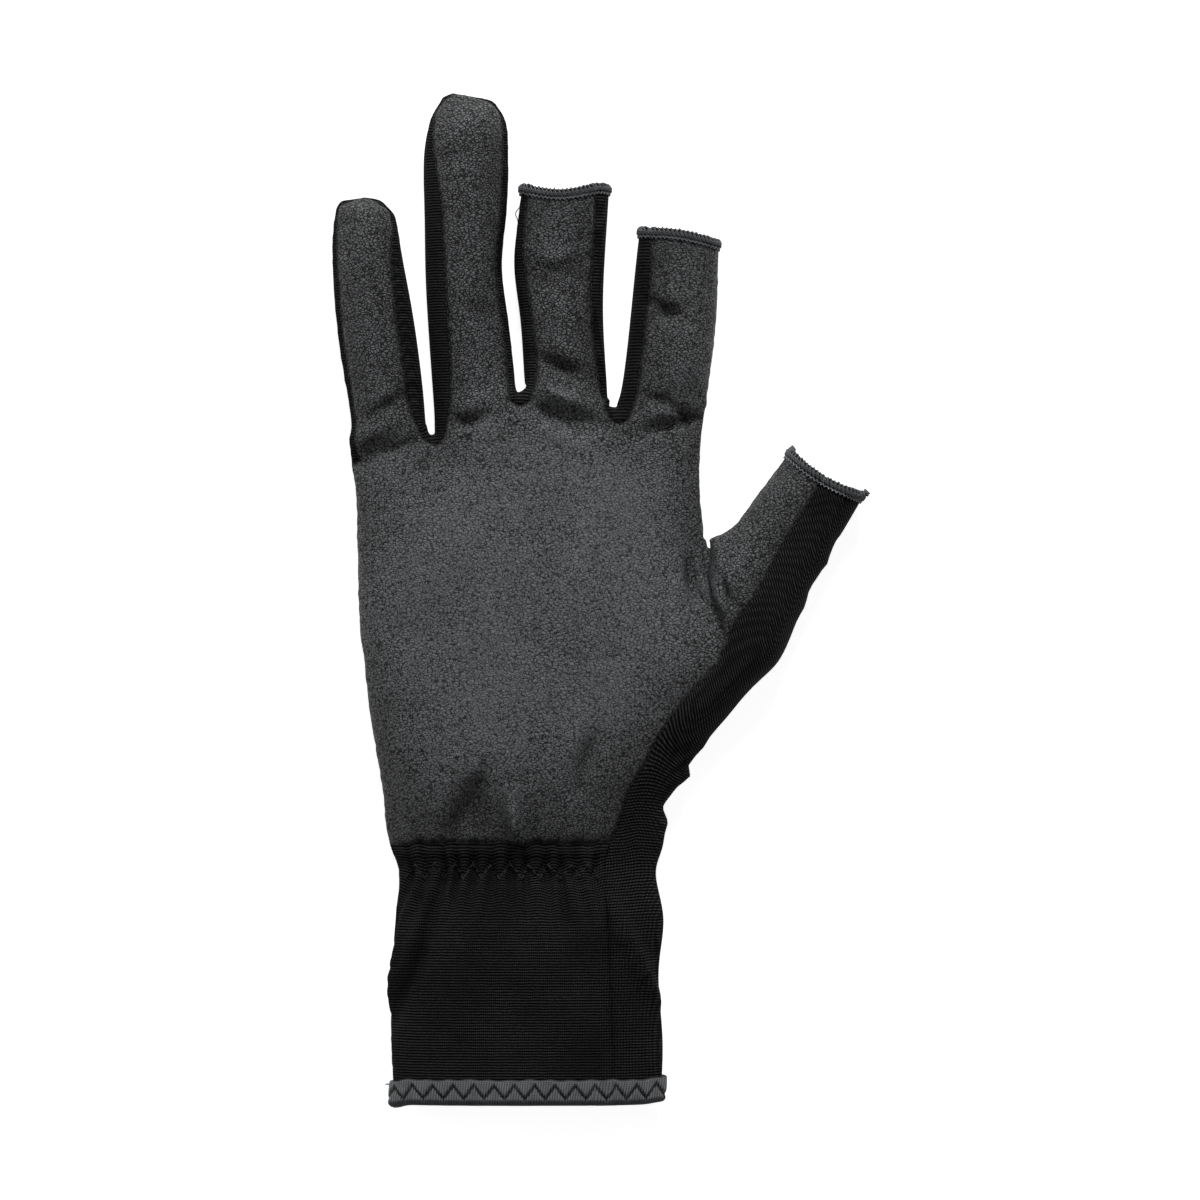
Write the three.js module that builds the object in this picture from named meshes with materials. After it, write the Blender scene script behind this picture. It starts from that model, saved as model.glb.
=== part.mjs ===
import * as THREE from 'three';

// Sun protection glove for the right hand, lying palm up on its back with the fingers along +Y.
// Millimetres: +X runs from the little finger to the thumb, +Z out of the palm, the surface is at 0.
// Every panel is cut from one smooth skin, so panels that are sewn together share their seam line.

// Hand and cuff
const palmLength = 106.5;
const palmThickness = 16;
const webWidth = 4.6;
const knuckleInset = 1.3;
const cuffLength = 63.8;
const cuffWidth = 67.5;
const cuffThickness = 11.5;

// Fingers, each length from the knuckle line to the tip or the cut opening
const littleLength = 55.25;
const littleWidth = 19;
const littleThickness = 11.5;
const ringLength = 81;
const ringWidth = 20.5;
const ringThickness = 12.5;
const middleLength = 56;
const middleWidth = 22;
const middleThickness = 12.5;
const indexLength = 44.75;
const indexWidth = 21.5;
const indexThickness = 12.5;

// Thumb, from its crotch to the cut opening, along its own slanting axis
const thumbLength = 29.5;
const thumbWidth = 21.25;
const thumbThickness = 14;
const thumbTurn = 55;

// Cloth
const leatherWall = 1.2;
const knitWall = 1.0;
const seamGap = 0.3;

// Binding tape round the hem, folded over both sides of the knit
const bindingHeight = 6.6;
const bindingWall = 1.0;
const bindingClearance = 0.3;

// Overlock bead round each cut opening
const edgingHeight = 2.4;
const edgingThickness = 2.2;
const edgingClearance = 0.3;
const openingDip = 1.5;

// Wrist gathers, drawn up by the elastic behind them, deepest at one share of the cuff and gone at another
const gatherCount = 12;
const gatherDepth = 0.9;
const gatherPeak = 0.12;
const gatherEnd = 0.32;

// How the cloth lies: share of the thickness below the edge, how square each side of a section is, and the
// share of the cuff over which it eases up on to its binding
const edgeHeight = 0.42;
const frontSquareness = 2.4;
const backSquareness = 3.6;
const cuffEase = 0.5;

// Columns of the skin across the front: three for each finger
const columns = 12;

// Sections of the cuff from the hem to the wrist seam. down is a share of the cuff's length, and left, seam
// and right are places across it as shares of its width. thick is a share of its thickness.
const cuffRows = [
  { down: 1.0, left: -0.5, seam: 0.317, right: 0.494, thick: 1.0 },
  { down: 0.75, left: -0.506, seam: 0.315, right: 0.502, thick: 1.0 },
  { down: 0.5, left: -0.502, seam: 0.307, right: 0.486, thick: 1.0 },
  { down: 0.293, left: -0.491, seam: 0.294, right: 0.507, thick: 0.98 },
  { down: 0.121, left: -0.478, seam: 0.285, right: 0.476, thick: 0.92 },
  { down: 0.0, left: -0.513, seam: 0.309, right: 0.507, thick: 0.95 },
];

// Sections of the palm from the wrist seam to the knuckles. left, seam and right are shares of the width
// there. up is a share of the palm's length at the left edge, upSeam at the seam beside the thumb and
// upRight at the right edge. Where the thumb grows out, right only says how wide the swell of its root is.
const palmRows = [
  { up: 0.087, upSeam: 0.087, upRight: 0.087, left: -0.528, seam: 0.355, right: 0.508, thick: 0.84 },
  { up: 0.19, upSeam: 0.195, upRight: 0.16, left: -0.54, seam: 0.43, right: 0.574, thick: 0.97 },
  { up: 0.359, upSeam: 0.357, thumb: true, left: -0.545, seam: 0.555, right: 0.8, thick: 1.0 },
  { up: 0.523, upSeam: 0.453, thumb: true, left: -0.532, seam: 0.615, right: 0.9, thick: 1.0 },
  { up: 0.7, upSeam: 0.636, upRight: 0.697, left: -0.508, seam: 0.527, right: 0.54, thick: 0.98 },
  { up: 0.84, upSeam: 0.857, upRight: 0.852, left: -0.497, seam: 0.48, right: 0.496, thick: 0.9 },
];

// The knuckle line. Each finger's three columns rise to a share of the palm's length, and so does the web
// beside it, which leans over by a share of its width. root is the share of the finger's width at its root.
const knuckles = {
  thick: 0.82,
  edges: { left: 0.894, right: 1.005 },
  valley: 0.93,
  webPinch: 0.31,
};

// A table's rows, each with its columns named
const rowsOf = (names, table) => table.map((row) => (
  Object.fromEntries(names.map((name, i) => [name, row[i]]))
));

// Columns of a finger's sections: how far up its left and right edges are, places across, and thickness
const fingerColumns = ['upLeft', 'upRight', 'left', 'seamLeft', 'seamRight', 'right', 'thick'];

const fingers = [
  {
    name: 'little', length: littleLength, width: littleWidth, thickness: littleThickness,
    root: 0.974, rise: [0.901, 0.932, 0.953], web: 0.972, lean: -0.2,
    leftSide: 'back_panel', rightFront: 'fourchette_little_ring', rightBack: 'fourchette_little_ring',
    rows: rowsOf(fingerColumns, [
      [-0.01, 0.077, -0.484, -0.43, 0.306, 0.475, 1.04],
      [0.235, 0.303, -0.596, -0.55, 0.2, 0.398, 1.02],
      [0.529, 0.529, -0.701, -0.648, 0.108, 0.299, 1.0],
      [0.756, 0.756, -0.721, -0.68, 0.056, 0.174, 0.94],
      [0.905, 0.905, -0.694, -0.65, 0.022, 0.088, 0.78],
      [0.964, 0.964, -0.615, -0.55, -0.09, -0.03, 0.52],
    ]),
    tip: { up: 1.0, across: -0.326, height: 0.3 },
  },
  {
    name: 'ring', length: ringLength, width: ringWidth, thickness: ringThickness,
    root: 0.83, rise: [0.953, 1.005, 1.042], web: 1.066, lean: 0,
    leftSide: 'fourchette_little_ring',
    rightFront: 'fourchette_ring_middle', rightBack: 'fourchette_ring_middle',
    rows: rowsOf(fingerColumns, [
      [0.077, 0.139, -0.545, -0.332, 0.375, 0.449, 1.03],
      [0.284, 0.284, -0.602, -0.356, 0.3, 0.388, 1.0],
      [0.469, 0.469, -0.637, -0.405, 0.265, 0.339, 0.98],
      [0.67, 0.67, -0.645, -0.436, 0.28, 0.363, 0.95],
      [0.84, 0.84, -0.618, -0.48, 0.285, 0.363, 0.88],
      [0.926, 0.926, -0.515, -0.45, 0.23, 0.308, 0.74],
      [0.975, 0.972, -0.417, -0.35, 0.1, 0.168, 0.5],
    ]),
    tip: { up: 1.0, across: -0.161, height: 0.3 },
  },
  {
    name: 'middle', length: middleLength, width: middleWidth, thickness: middleThickness,
    root: 0.91, rise: [1.042, 1.031, 1.002], web: 1.031, lean: -0.42,
    leftSide: 'fourchette_ring_middle',
    rightFront: 'fourchette_middle_index', rightBack: 'fourchette_middle_index',
    rows: rowsOf(fingerColumns, [
      [0.201, 0.143, -0.531, -0.394, 0.356, 0.424, 1.03],
      [0.433, 0.433, -0.57, -0.417, 0.265, 0.384, 1.0],
      [0.723, 0.723, -0.616, -0.474, 0.276, 0.401, 0.96],
      [1.0, 1.0, -0.553, -0.49, 0.299, 0.447, 0.92],
    ]),
    dip: 1.0,
  },
  {
    name: 'index', length: indexLength, width: indexWidth, thickness: indexThickness,
    root: 0.885, rise: [0.998, 1.012, 1.012],
    leftSide: 'fourchette_middle_index', rightFront: 'palm_panel', rightBack: 'back_panel',
    rows: rowsOf(fingerColumns, [
      [0.179, 0.235, -0.514, -0.316, 0.428, 0.51, 1.03],
      [0.5, 0.48, -0.427, -0.246, 0.498, 0.573, 1.0],
      [0.765, 0.7, -0.374, -0.2, 0.533, 0.603, 0.96],
      [1.017, 0.944, -0.316, -0.2, 0.545, 0.614, 0.92],
    ]),
    dip: -0.4,
  },
];

// Sections of the thumb from its root to its opening. Along and across are shares of its length and width,
// from the crotch, at the inner (crotch) edge and the outer edge. The seam is a share of the way between.
const thumbRows = [
  { inner: { along: 0.04, across: 0.01 }, outer: { along: -0.906, across: 1.341 }, seam: 0.57, thick: 1.14 },
  { inner: { along: 0.135, across: 0.075 }, outer: { along: -0.458, across: 1.451 }, seam: 0.51, thick: 1.12 },
  { inner: { along: 0.37, across: 0.12 }, outer: { along: -0.023, across: 1.335 }, seam: 0.5, thick: 1.05 },
  { inner: { along: 0.68, across: 0.132 }, outer: { along: 0.528, across: 1.225 }, seam: 0.5, thick: 0.96 },
  { inner: { along: 1.0, across: 0.128 }, outer: { along: 1.055, across: 1.161 }, seam: 0.5, thick: 0.86 },
];

// The thumb's columns: one between the crotch edge and the seam, the seam, two between it and the outer edge
const thumbColumns = { beforeSeam: 0.4, afterSeam: [0, 0.4, 0.76] };

// Folds and dents of the front. across and up place the middle, long and wide are its size and turn the
// angle of its run. Palm folds take shares of the knuckle width and palm length, finger folds shares of the
// finger's width and length, cuff folds shares of the cuff's. A negative depth is a ridge. Depths, lengths
// and widths are shares of the palm's thickness.
const folds = [
  { on: 'palm', across: 0.497, up: 0.635, turn: 80, long: 0.95, wide: 0.17, deep: 0.13 },
  { on: 'palm', across: 0.57, up: 0.62, turn: 115, long: 0.7, wide: 0.15, deep: 0.1 },
  { on: 'palm', across: -0.43, up: 0.918, turn: 25, long: 0.85, wide: 0.17, deep: 0.09 },
  { on: 'palm', across: -0.13, up: 0.995, turn: 20, long: 0.7, wide: 0.16, deep: 0.07 },
  { on: 'palm', across: 0.11, up: 1.005, turn: -15, long: 1.1, wide: 0.17, deep: 0.09 },
  { on: 'palm', across: 0.42, up: 0.985, turn: 15, long: 0.9, wide: 0.16, deep: 0.08 },
  { on: 'palm', across: -0.16, up: 0.09, turn: 65, long: 1.1, wide: 0.22, deep: 0.12 },
  { on: 'palm', across: -0.035, up: 0.06, turn: 95, long: 0.8, wide: 0.2, deep: -0.08 },
  { on: 'palm', across: 0.18, up: 0.21, turn: 70, long: 0.9, wide: 0.2, deep: 0.08 },
  { on: 'little', across: 0.0, up: 0.05, turn: 30, long: 0.6, wide: 0.14, deep: 0.05 },
  { on: 'middle', across: -0.03, up: 0.65, turn: -20, long: 0.7, wide: 0.14, deep: 0.06 },
  { on: 'middle', across: 0.0, up: 0.22, turn: -25, long: 0.8, wide: 0.14, deep: 0.06 },
  { on: 'index', across: 0.05, up: 0.59, turn: -30, long: 0.6, wide: 0.14, deep: 0.06 },
  { on: 'cuff', across: 0.4, up: -0.42, turn: -66, long: 1.5, wide: 0.16, deep: -0.06 },
  { on: 'cuff', across: -0.42, up: -0.5, turn: 70, long: 1.4, wide: 0.16, deep: 0.06 },
];

const lerp = THREE.MathUtils.lerp;
const smooth = (value) => THREE.MathUtils.smoothstep(value, 0, 1);
const degrees = THREE.MathUtils.degToRad;

const knuckleWidth = fingers.reduce((sum, finger) => sum + finger.width * finger.root, 0)
  + webWidth * (fingers.length - 1);
const cuffLift = bindingWall + bindingClearance;
const edgingProud = (edgingThickness - knitWall) / 2;

// The skin's cage: points in space, and faces that say which panel they belong to
class Skin {
  constructor() {
    this.points = [];
    this.faces = [];
  }

  point(x, y, z) {
    return this.points.push(new THREE.Vector3(x, y, z)) - 1;
  }

  face(panel, ...corners) {
    this.faces.push({ panel, corners });
  }

  // Joins two rings of the same count. Where a ring has no point, the strip stays open.
  strip(lower, upper, panelOf) {
    lower.forEach((start, j) => {
      const next = (j + 1) % lower.length;
      const corners = [start, lower[next], upper[next], upper[j]];
      if (corners.every((corner) => corner !== null)) this.face(panelOf(j), ...corners);
    });
  }
}

// Heights of the skin at a place across a section, from -1 at its left edge to 1 at its right edge
function heights(across, thickness, lift) {
  const reach = Math.min(1, Math.abs(across));
  const bow = (squareness) => (1 - reach ** squareness) ** (1 / squareness);
  const edge = lift + edgeHeight * thickness;
  return {
    edge,
    front: edge + (1 - edgeHeight) * thickness * bow(frontSquareness),
    back: edge - edgeHeight * thickness * bow(backSquareness),
  };
}

// Width of the body at a share of the palm's length, from the cuff's width to that of the knuckles
function bodyWidth(up) {
  return lerp(cuffWidth, knuckleWidth, smooth(up));
}

// Places of the finger roots along the knuckle line
const roots = [];
fingers.reduce((x, finger) => {
  const end = x + finger.width * finger.root;
  roots.push({ start: x, end, middle: (x + end) / 2 });
  return end + webWidth;
}, -knuckleWidth / 2);

// The twelve columns of the knuckle line: three on each finger
const knuckleColumns = fingers.flatMap((finger, i) => {
  const start = i === 0 ? roots[i].start + knuckleInset : roots[i].start;
  const end = i === fingers.length - 1 ? roots[i].end - knuckleInset : roots[i].end;
  return [start, (start + end) / 2, end].map((x, k) => ({ x, up: finger.rise[k], valley: k !== 1 }));
});

// How the columns spread over the palm: evenly at the wrist, and as the fingers need at the knuckles
function columnShare(j, up) {
  const even = (j + 1) / columns;
  const first = -knuckleWidth / 2;
  const last = knuckleColumns[columns - 1].x;
  return lerp(even, (knuckleColumns[j].x - first) / (last - first), smooth(up));
}

// One ring round the hand: left edge, front columns, right edge, then the back columns in reverse
function bodyRing(skin, row) {
  const middle = (row.left.x + row.right.x) / 2;
  const half = (row.right.x - row.left.x) / 2;
  const at = (x) => heights((x - middle) / half, row.thickness, row.lift);
  const edge = (end) => skin.point(end.x, end.y, at(end.x).edge);
  const front = row.columns.map(({ x, y, valley }) => {
    const place = at(x);
    return skin.point(x, y, valley ? lerp(place.edge, place.front, knuckles.valley) : place.front);
  });
  const back = row.columns.map(({ x, y }) => skin.point(x, y, at(x).back));
  return [edge(row.left), ...front, row.right.open ? null : edge(row.right), ...back.reverse()];
}

function spread(row, up, leftY, seamY, width) {
  return Array.from({ length: columns }, (_, j) => {
    const share = columnShare(j, up);
    return { x: width * lerp(row.left, row.seam, share), y: lerp(leftY, seamY, share) };
  });
}

function cuffRing(skin, row) {
  const y = -row.down * cuffLength;
  return bodyRing(skin, {
    left: { x: row.left * cuffWidth, y },
    right: { x: row.right * cuffWidth, y },
    columns: spread(row, 0, y, y, cuffWidth),
    thickness: row.thick * cuffThickness,
    lift: cuffLift * smooth(row.down / cuffEase),
  });
}

function palmRing(skin, row) {
  const width = bodyWidth(row.up);
  const leftY = row.up * palmLength;
  return bodyRing(skin, {
    left: { x: row.left * width, y: leftY },
    right: { x: row.right * width, y: row.thumb ? leftY : row.upRight * palmLength, open: row.thumb },
    columns: spread(row, row.up, leftY, row.upSeam * palmLength, width),
    thickness: row.thick * palmThickness,
    lift: 0,
  });
}

function knuckleRing(skin) {
  return bodyRing(skin, {
    left: { x: -knuckleWidth / 2, y: knuckles.edges.left * palmLength },
    right: { x: knuckleWidth / 2, y: knuckles.edges.right * palmLength },
    columns: knuckleColumns.map(({ x, up, valley }) => ({ x, y: up * palmLength, valley })),
    thickness: knuckles.thick * palmThickness,
    lift: 0,
  });
}

// A finger's section: left edge, three points of the front, right edge, three points of the back
function fingerRing(skin, finger, root, row, isOpening) {
  const place = (share, up) => ({
    x: root.middle + share * finger.width,
    y: palmLength + up * finger.length,
  });
  const middle = (row.left + row.right) / 2;
  const half = (row.right - row.left) / 2;
  const upAt = (share) => lerp(row.upLeft, row.upRight, (share - row.left) / (row.right - row.left));
  const lift = isOpening ? edgingProud : 0;
  const seams = [row.seamLeft, (row.seamLeft + row.seamRight) / 2, row.seamRight];
  const add = (share, side, dip) => {
    const { x, y } = place(share, upAt(share));
    return skin.point(x, y - dip, heights((share - middle) / half, row.thick * finger.thickness, lift)[side]);
  };
  const dips = [0, isOpening ? finger.dip * openingDip : 0, 0];
  return [
    add(row.left, 'edge', 0),
    ...seams.map((share, k) => add(share, 'front', dips[k])),
    add(row.right, 'edge', 0),
    ...seams.map((share, k) => add(share, 'back', dips[k])).reverse(),
  ];
}

// Panels of a finger's eight strips, in the order of its ring
function fingerPanels(finger) {
  return [
    finger.leftSide, 'palm_panel', 'palm_panel', finger.rightFront,
    finger.rightBack, 'back_panel', 'back_panel', finger.leftSide,
  ];
}

// Closes a finger: four faces meet at its tip, so that each side strip tapers to nothing there
function closeTip(skin, finger, root, ring) {
  const tip = skin.point(
    root.middle + finger.tip.across * finger.width,
    palmLength + finger.tip.up * finger.length,
    finger.tip.height * finger.thickness,
  );
  const panels = fingerPanels(finger);
  const corners = [[7, 0, 1], [1, 2, 3], [3, 4, 5], [5, 6, 7]];
  corners.forEach(([a, b, c]) => skin.face(panels[b === 0 ? 0 : a], ring[a], ring[b], ring[c], tip));
}

// The thumb leaves the hand's side through an opening of ten points, and its seam runs on down the palm
function thumbRing(skin, row, crotch, isOpening) {
  const turn = degrees(thumbTurn);
  const place = ({ along, across }, dip) => ({
    x: crotch.x + (along * thumbLength - dip) * Math.cos(turn) + across * thumbWidth * Math.sin(turn),
    y: crotch.y + (along * thumbLength - dip) * Math.sin(turn) - across * thumbWidth * Math.cos(turn),
  });
  const lift = isOpening ? edgingProud : 0;
  const shares = [
    row.seam * thumbColumns.beforeSeam,
    ...thumbColumns.afterSeam.map((share) => lerp(row.seam, 1, share)),
  ];
  const add = (share, side) => {
    const dip = isOpening ? openingDip * (1 - (2 * share - 1) ** 2) : 0;
    const between = {
      along: lerp(row.inner.along, row.outer.along, share),
      across: lerp(row.inner.across, row.outer.across, share),
    };
    const { x, y } = place(between, dip);
    return skin.point(x, y, heights(2 * share - 1, row.thick * thumbThickness, lift)[side]);
  };
  return [
    add(0, 'edge'),
    ...shares.map((share) => add(share, 'front')),
    add(1, 'edge'),
    ...shares.map((share) => add(share, 'back')).reverse(),
  ];
}

// Strips of a body ring that are leather, or the front of the cuff: all of the front but its right edge
const frontStrips = columns;

function buildSkin() {
  const skin = new Skin();
  const cuffRings = cuffRows.map((row) => cuffRing(skin, row));
  const palmRings = palmRows.map((row) => palmRing(skin, row));
  const knuckle = knuckleRing(skin);
  const rims = { hem: cuffRings[0] };

  cuffRings.slice(1).forEach((ring, i) => {
    skin.strip(cuffRings[i], ring, (j) => (j < frontStrips ? 'cuff_panel' : 'back_panel'));
  });

  const crotchRow = palmRows.findLastIndex((row) => row.thumb) + 1;
  const hand = [cuffRings.at(-1), ...palmRings, knuckle];
  hand.slice(1).forEach((ring, i) => {
    const aboveThumb = i > crotchRow;
    const leatherEnd = aboveThumb ? frontStrips + 1 : frontStrips;
    skin.strip(hand[i], ring, (j) => (j < leatherEnd ? 'palm_panel' : 'back_panel'));
  });

  const frontColumn = (ring, j) => ring[1 + j];
  const backColumn = (ring, j) => ring[2 * columns + 1 - j];
  const leftEdge = (ring) => ring[0];
  const rightEdge = (ring) => ring[columns + 1];

  // Web between two fingers: a front and a back face, bowed up towards the fingertips
  const webs = fingers.slice(0, -1).map((finger, i) => {
    const last = 3 * i + 2;
    const height = heights(0, knuckles.thick * palmThickness, 0).edge;
    const right = skin.point(
      roots[i].end + (finger.lean + knuckles.webPinch) * webWidth, finger.web * palmLength, height);
    const left = skin.point(
      roots[i + 1].start + (finger.lean - knuckles.webPinch) * webWidth, finger.web * palmLength, height);
    skin.face(finger.rightFront, frontColumn(knuckle, last), frontColumn(knuckle, last + 1), left, right);
    skin.face(finger.rightBack, right, left, backColumn(knuckle, last + 1), backColumn(knuckle, last));
    return { right, left };
  });

  fingers.forEach((finger, i) => {
    const first = 3 * i;
    const three = [first, first + 1, first + 2];
    let ring = [
      i === 0 ? leftEdge(knuckle) : webs[i - 1].left,
      ...three.map((j) => frontColumn(knuckle, j)),
      i === fingers.length - 1 ? rightEdge(knuckle) : webs[i].right,
      ...three.map((j) => backColumn(knuckle, j)).reverse(),
    ];
    const panels = fingerPanels(finger);
    finger.rows.forEach((row, k) => {
      const isOpening = !finger.tip && k === finger.rows.length - 1;
      const next = fingerRing(skin, finger, roots[i], row, isOpening);
      skin.strip(ring, next, (j) => panels[j]);
      ring = next;
    });
    if (finger.tip) closeTip(skin, finger, roots[i], ring);
    else rims[finger.name] = ring;
  });

  const last = columns - 1;
  const around = palmRings.slice(1, crotchRow + 1);
  const crotchPoint = skin.points[rightEdge(around.at(-1))];
  let ring = [
    rightEdge(around.at(-1)),
    ...around.map((row) => frontColumn(row, last)).reverse(),
    rightEdge(around[0]),
    ...around.map((row) => backColumn(row, last)),
  ];
  thumbRows.forEach((row, k) => {
    const next = thumbRing(skin, row, crotchPoint, k === thumbRows.length - 1);
    skin.strip(ring, next, (j) => (j < 2 ? 'palm_panel' : 'back_panel'));
    ring = next;
  });
  rims.thumb = ring;
  return { skin, rims };
}

const edgeKey = (a, b) => (a < b ? `${a},${b}` : `${b},${a}`);

// Edges of a set of faces, each with its ends and the faces that meet along it
function edgesOf(faces) {
  const edges = new Map();
  faces.forEach((face, f) => {
    face.corners.forEach((a, i) => {
      const b = face.corners[(i + 1) % face.corners.length];
      const key = edgeKey(a, b);
      if (!edges.has(key)) edges.set(key, { ends: [a, b], faces: [] });
      edges.get(key).faces.push(f);
    });
  });
  return edges;
}

function centre(points) {
  return points.reduce((sum, p) => sum.add(p), new THREE.Vector3()).divideScalar(points.length);
}

// Neighbours of each point: along edges, along the skin's rim, and across the corners of its faces
function neighbours(skin) {
  const around = skin.points.map(() => ({ edges: [], rim: [], across: [] }));
  edgesOf(skin.faces).forEach(({ ends: [a, b], faces }) => {
    around[a].edges.push(b);
    around[b].edges.push(a);
    if (faces.length === 1) {
      around[a].rim.push(b);
      around[b].rim.push(a);
    }
  });
  skin.faces.forEach(({ corners }) => {
    corners.forEach((corner, i) => around[corner].across.push(corners[(i + 2) % 4]));
  });
  return around;
}

const sumOf = (points, ids) => ids.reduce((sum, id) => sum.add(points[id]), new THREE.Vector3());

// Where each point of the cage ends up on the smooth surface
function limitPoints(skin, around) {
  return skin.points.map((point, i) => {
    const { edges, rim, across } = around[i];
    if (rim.length) return point.clone().multiplyScalar(4).add(sumOf(skin.points, rim)).divideScalar(6);
    const n = edges.length;
    return point.clone().multiplyScalar(n * n)
      .add(sumOf(skin.points, edges).multiplyScalar(4))
      .add(sumOf(skin.points, across))
      .divideScalar(n * (n + 5));
  });
}

const fitRounds = 8;

// Moves the cage until its smooth surface passes through the places that the tables give
function fit(skin) {
  const wanted = skin.points.map((point) => point.clone());
  const around = neighbours(skin);
  for (let round = 0; round < fitRounds; round += 1) {
    const reached = limitPoints(skin, around);
    skin.points.forEach((point, i) => point.add(wanted[i]).sub(reached[i]));
  }
}

// One step of Catmull and Clark's rule: each face becomes four, and the points ease towards the surface
function refine(skin) {
  const fine = new Skin();
  const around = neighbours(skin);
  const faceCentres = skin.faces.map(({ corners }) => centre(corners.map((corner) => skin.points[corner])));
  const edges = edgesOf(skin.faces);
  const touching = skin.points.map(() => []);
  skin.faces.forEach(({ corners }, f) => corners.forEach((corner) => touching[corner].push(f)));
  const add = (p) => fine.point(p.x, p.y, p.z);

  skin.points.forEach((point, i) => {
    const { edges: along, rim } = around[i];
    if (rim.length) {
      add(point.clone().multiplyScalar(6).add(sumOf(skin.points, rim)).divideScalar(8));
      return;
    }
    const n = along.length;
    const faceMean = centre(touching[i].map((f) => faceCentres[f]));
    const edgeMean = centre(along.map((other) => centre([point, skin.points[other]])));
    add(point.clone().multiplyScalar(n - 3).add(faceMean).add(edgeMean.multiplyScalar(2)).divideScalar(n));
  });
  const edgePoints = new Map();
  edges.forEach(({ ends, faces }, key) => {
    const shared = ends.map((end) => skin.points[end]);
    if (faces.length > 1) shared.push(...faces.map((f) => faceCentres[f]));
    edgePoints.set(key, add(centre(shared)));
  });
  const facePoints = faceCentres.map(add);
  skin.faces.forEach(({ panel, corners }, f) => {
    corners.forEach((corner, i) => {
      const before = corners[(i + 3) % 4];
      const after = corners[(i + 1) % 4];
      const next = edgePoints.get(edgeKey(corner, after));
      const previous = edgePoints.get(edgeKey(before, corner));
      fine.face(panel, corner, next, facePoints[f], previous);
    });
  });
  return { fine, edgePoints };
}

function faceNormal(points, corners) {
  const [a, b, c, d] = corners.map((corner) => points[corner]);
  return c.clone().sub(a).cross(d.clone().sub(b));
}

function normalsOf(skin) {
  const normals = skin.points.map(() => new THREE.Vector3());
  skin.faces.forEach(({ corners }) => {
    const normal = faceNormal(skin.points, corners);
    corners.forEach((corner) => normals[corner].add(normal));
  });
  return normals.map((normal) => normal.normalize());
}

// Middle of a fold, from the part of the glove that it lies on
function foldPlace({ on, across, up }) {
  if (on === 'palm') return { x: across * knuckleWidth, y: up * palmLength };
  if (on === 'cuff') return { x: across * cuffWidth, y: up * cuffLength };
  const i = fingers.findIndex((finger) => finger.name === on);
  return { x: roots[i].middle + across * fingers[i].width, y: palmLength + up * fingers[i].length };
}

// How far the folds push the front in at a point
function foldDepth(point) {
  return folds.reduce((depth, fold) => {
    const { x, y } = foldPlace(fold);
    const turn = degrees(fold.turn);
    const along = (point.x - x) * Math.cos(turn) + (point.y - y) * Math.sin(turn);
    const aside = (point.y - y) * Math.cos(turn) - (point.x - x) * Math.sin(turn);
    const run = along / (fold.long * palmThickness / 2);
    const off = aside / (fold.wide * palmThickness);
    return depth + fold.deep * palmThickness * Math.exp(-(off ** 2) - run ** 4);
  }, 0);
}

// Gathers of the cuff's front: waves side by side that fade out at the wrist seam and down the cuff
function gatherIn(across, down) {
  const rising = smooth(down / gatherPeak);
  const falling = smooth((gatherEnd - down) / (gatherEnd - gatherPeak));
  const fade = down < gatherPeak ? rising : falling;
  return gatherDepth * fade * (1 - Math.cos(2 * Math.PI * gatherCount * across)) / 2;
}

// Height that the cloth can't sink below: the surface it lies on, or near the hem the binding under it
function restHeight(point) {
  return cuffLift * smooth(-point.y / cuffLength / cuffEase);
}

function foldSkin(skin, normals) {
  skin.points.forEach((point, i) => {
    const facing = smooth(normals[i].z * 2);
    if (facing > 0) point.addScaledVector(normals[i], -foldDepth(point) * facing);
    point.z = Math.max(point.z, restHeight(point));
  });
}

// At a sharp corner of a panel its point draws back further than its edges do, but no more than this allows
const sharpestPull = 0.6;

const walls = {
  palm_panel: leatherWall,
  back_panel: knitWall,
  cuff_panel: knitWall,
  fourchette_little_ring: knitWall,
  fourchette_ring_middle: knitWall,
  fourchette_middle_index: knitWall,
};

// Cuts one panel out of the skin, keeping half the seam's gap along every edge that it is sewn by
function cutPanel(skin, normals, panel) {
  const faces = skin.faces.filter((face) => face.panel === panel);
  const wholeEdges = edgesOf(skin.faces);
  const pulls = new Map();
  edgesOf(faces).forEach(({ ends, faces: touching }, key) => {
    if (touching.length > 1 || wholeEdges.get(key).faces.length < 2) return;
    const along = skin.points[ends[1]].clone().sub(skin.points[ends[0]]);
    const inward = faceNormal(skin.points, faces[touching[0]].corners).cross(along).normalize();
    ends.forEach((end) => pulls.set(end, [...(pulls.get(end) ?? []), inward]));
  });
  const ids = [...new Set(faces.flatMap((face) => face.corners))];
  const local = new Map(ids.map((id, i) => [id, i]));
  const points = ids.map((id) => {
    const point = skin.points[id].clone();
    if (!pulls.has(id)) return point;
    const pull = centre(pulls.get(id));
    const normal = normals[id];
    pull.addScaledVector(normal, -pull.dot(normal));
    const sharpness = Math.max(pull.length(), sharpestPull);
    return point.addScaledVector(pull.normalize(), seamGap / 2 / sharpness);
  });
  return {
    points,
    normals: ids.map((id) => normals[id].clone()),
    faces: faces.map((face) => face.corners.map((corner) => local.get(corner))),
  };
}

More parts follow.
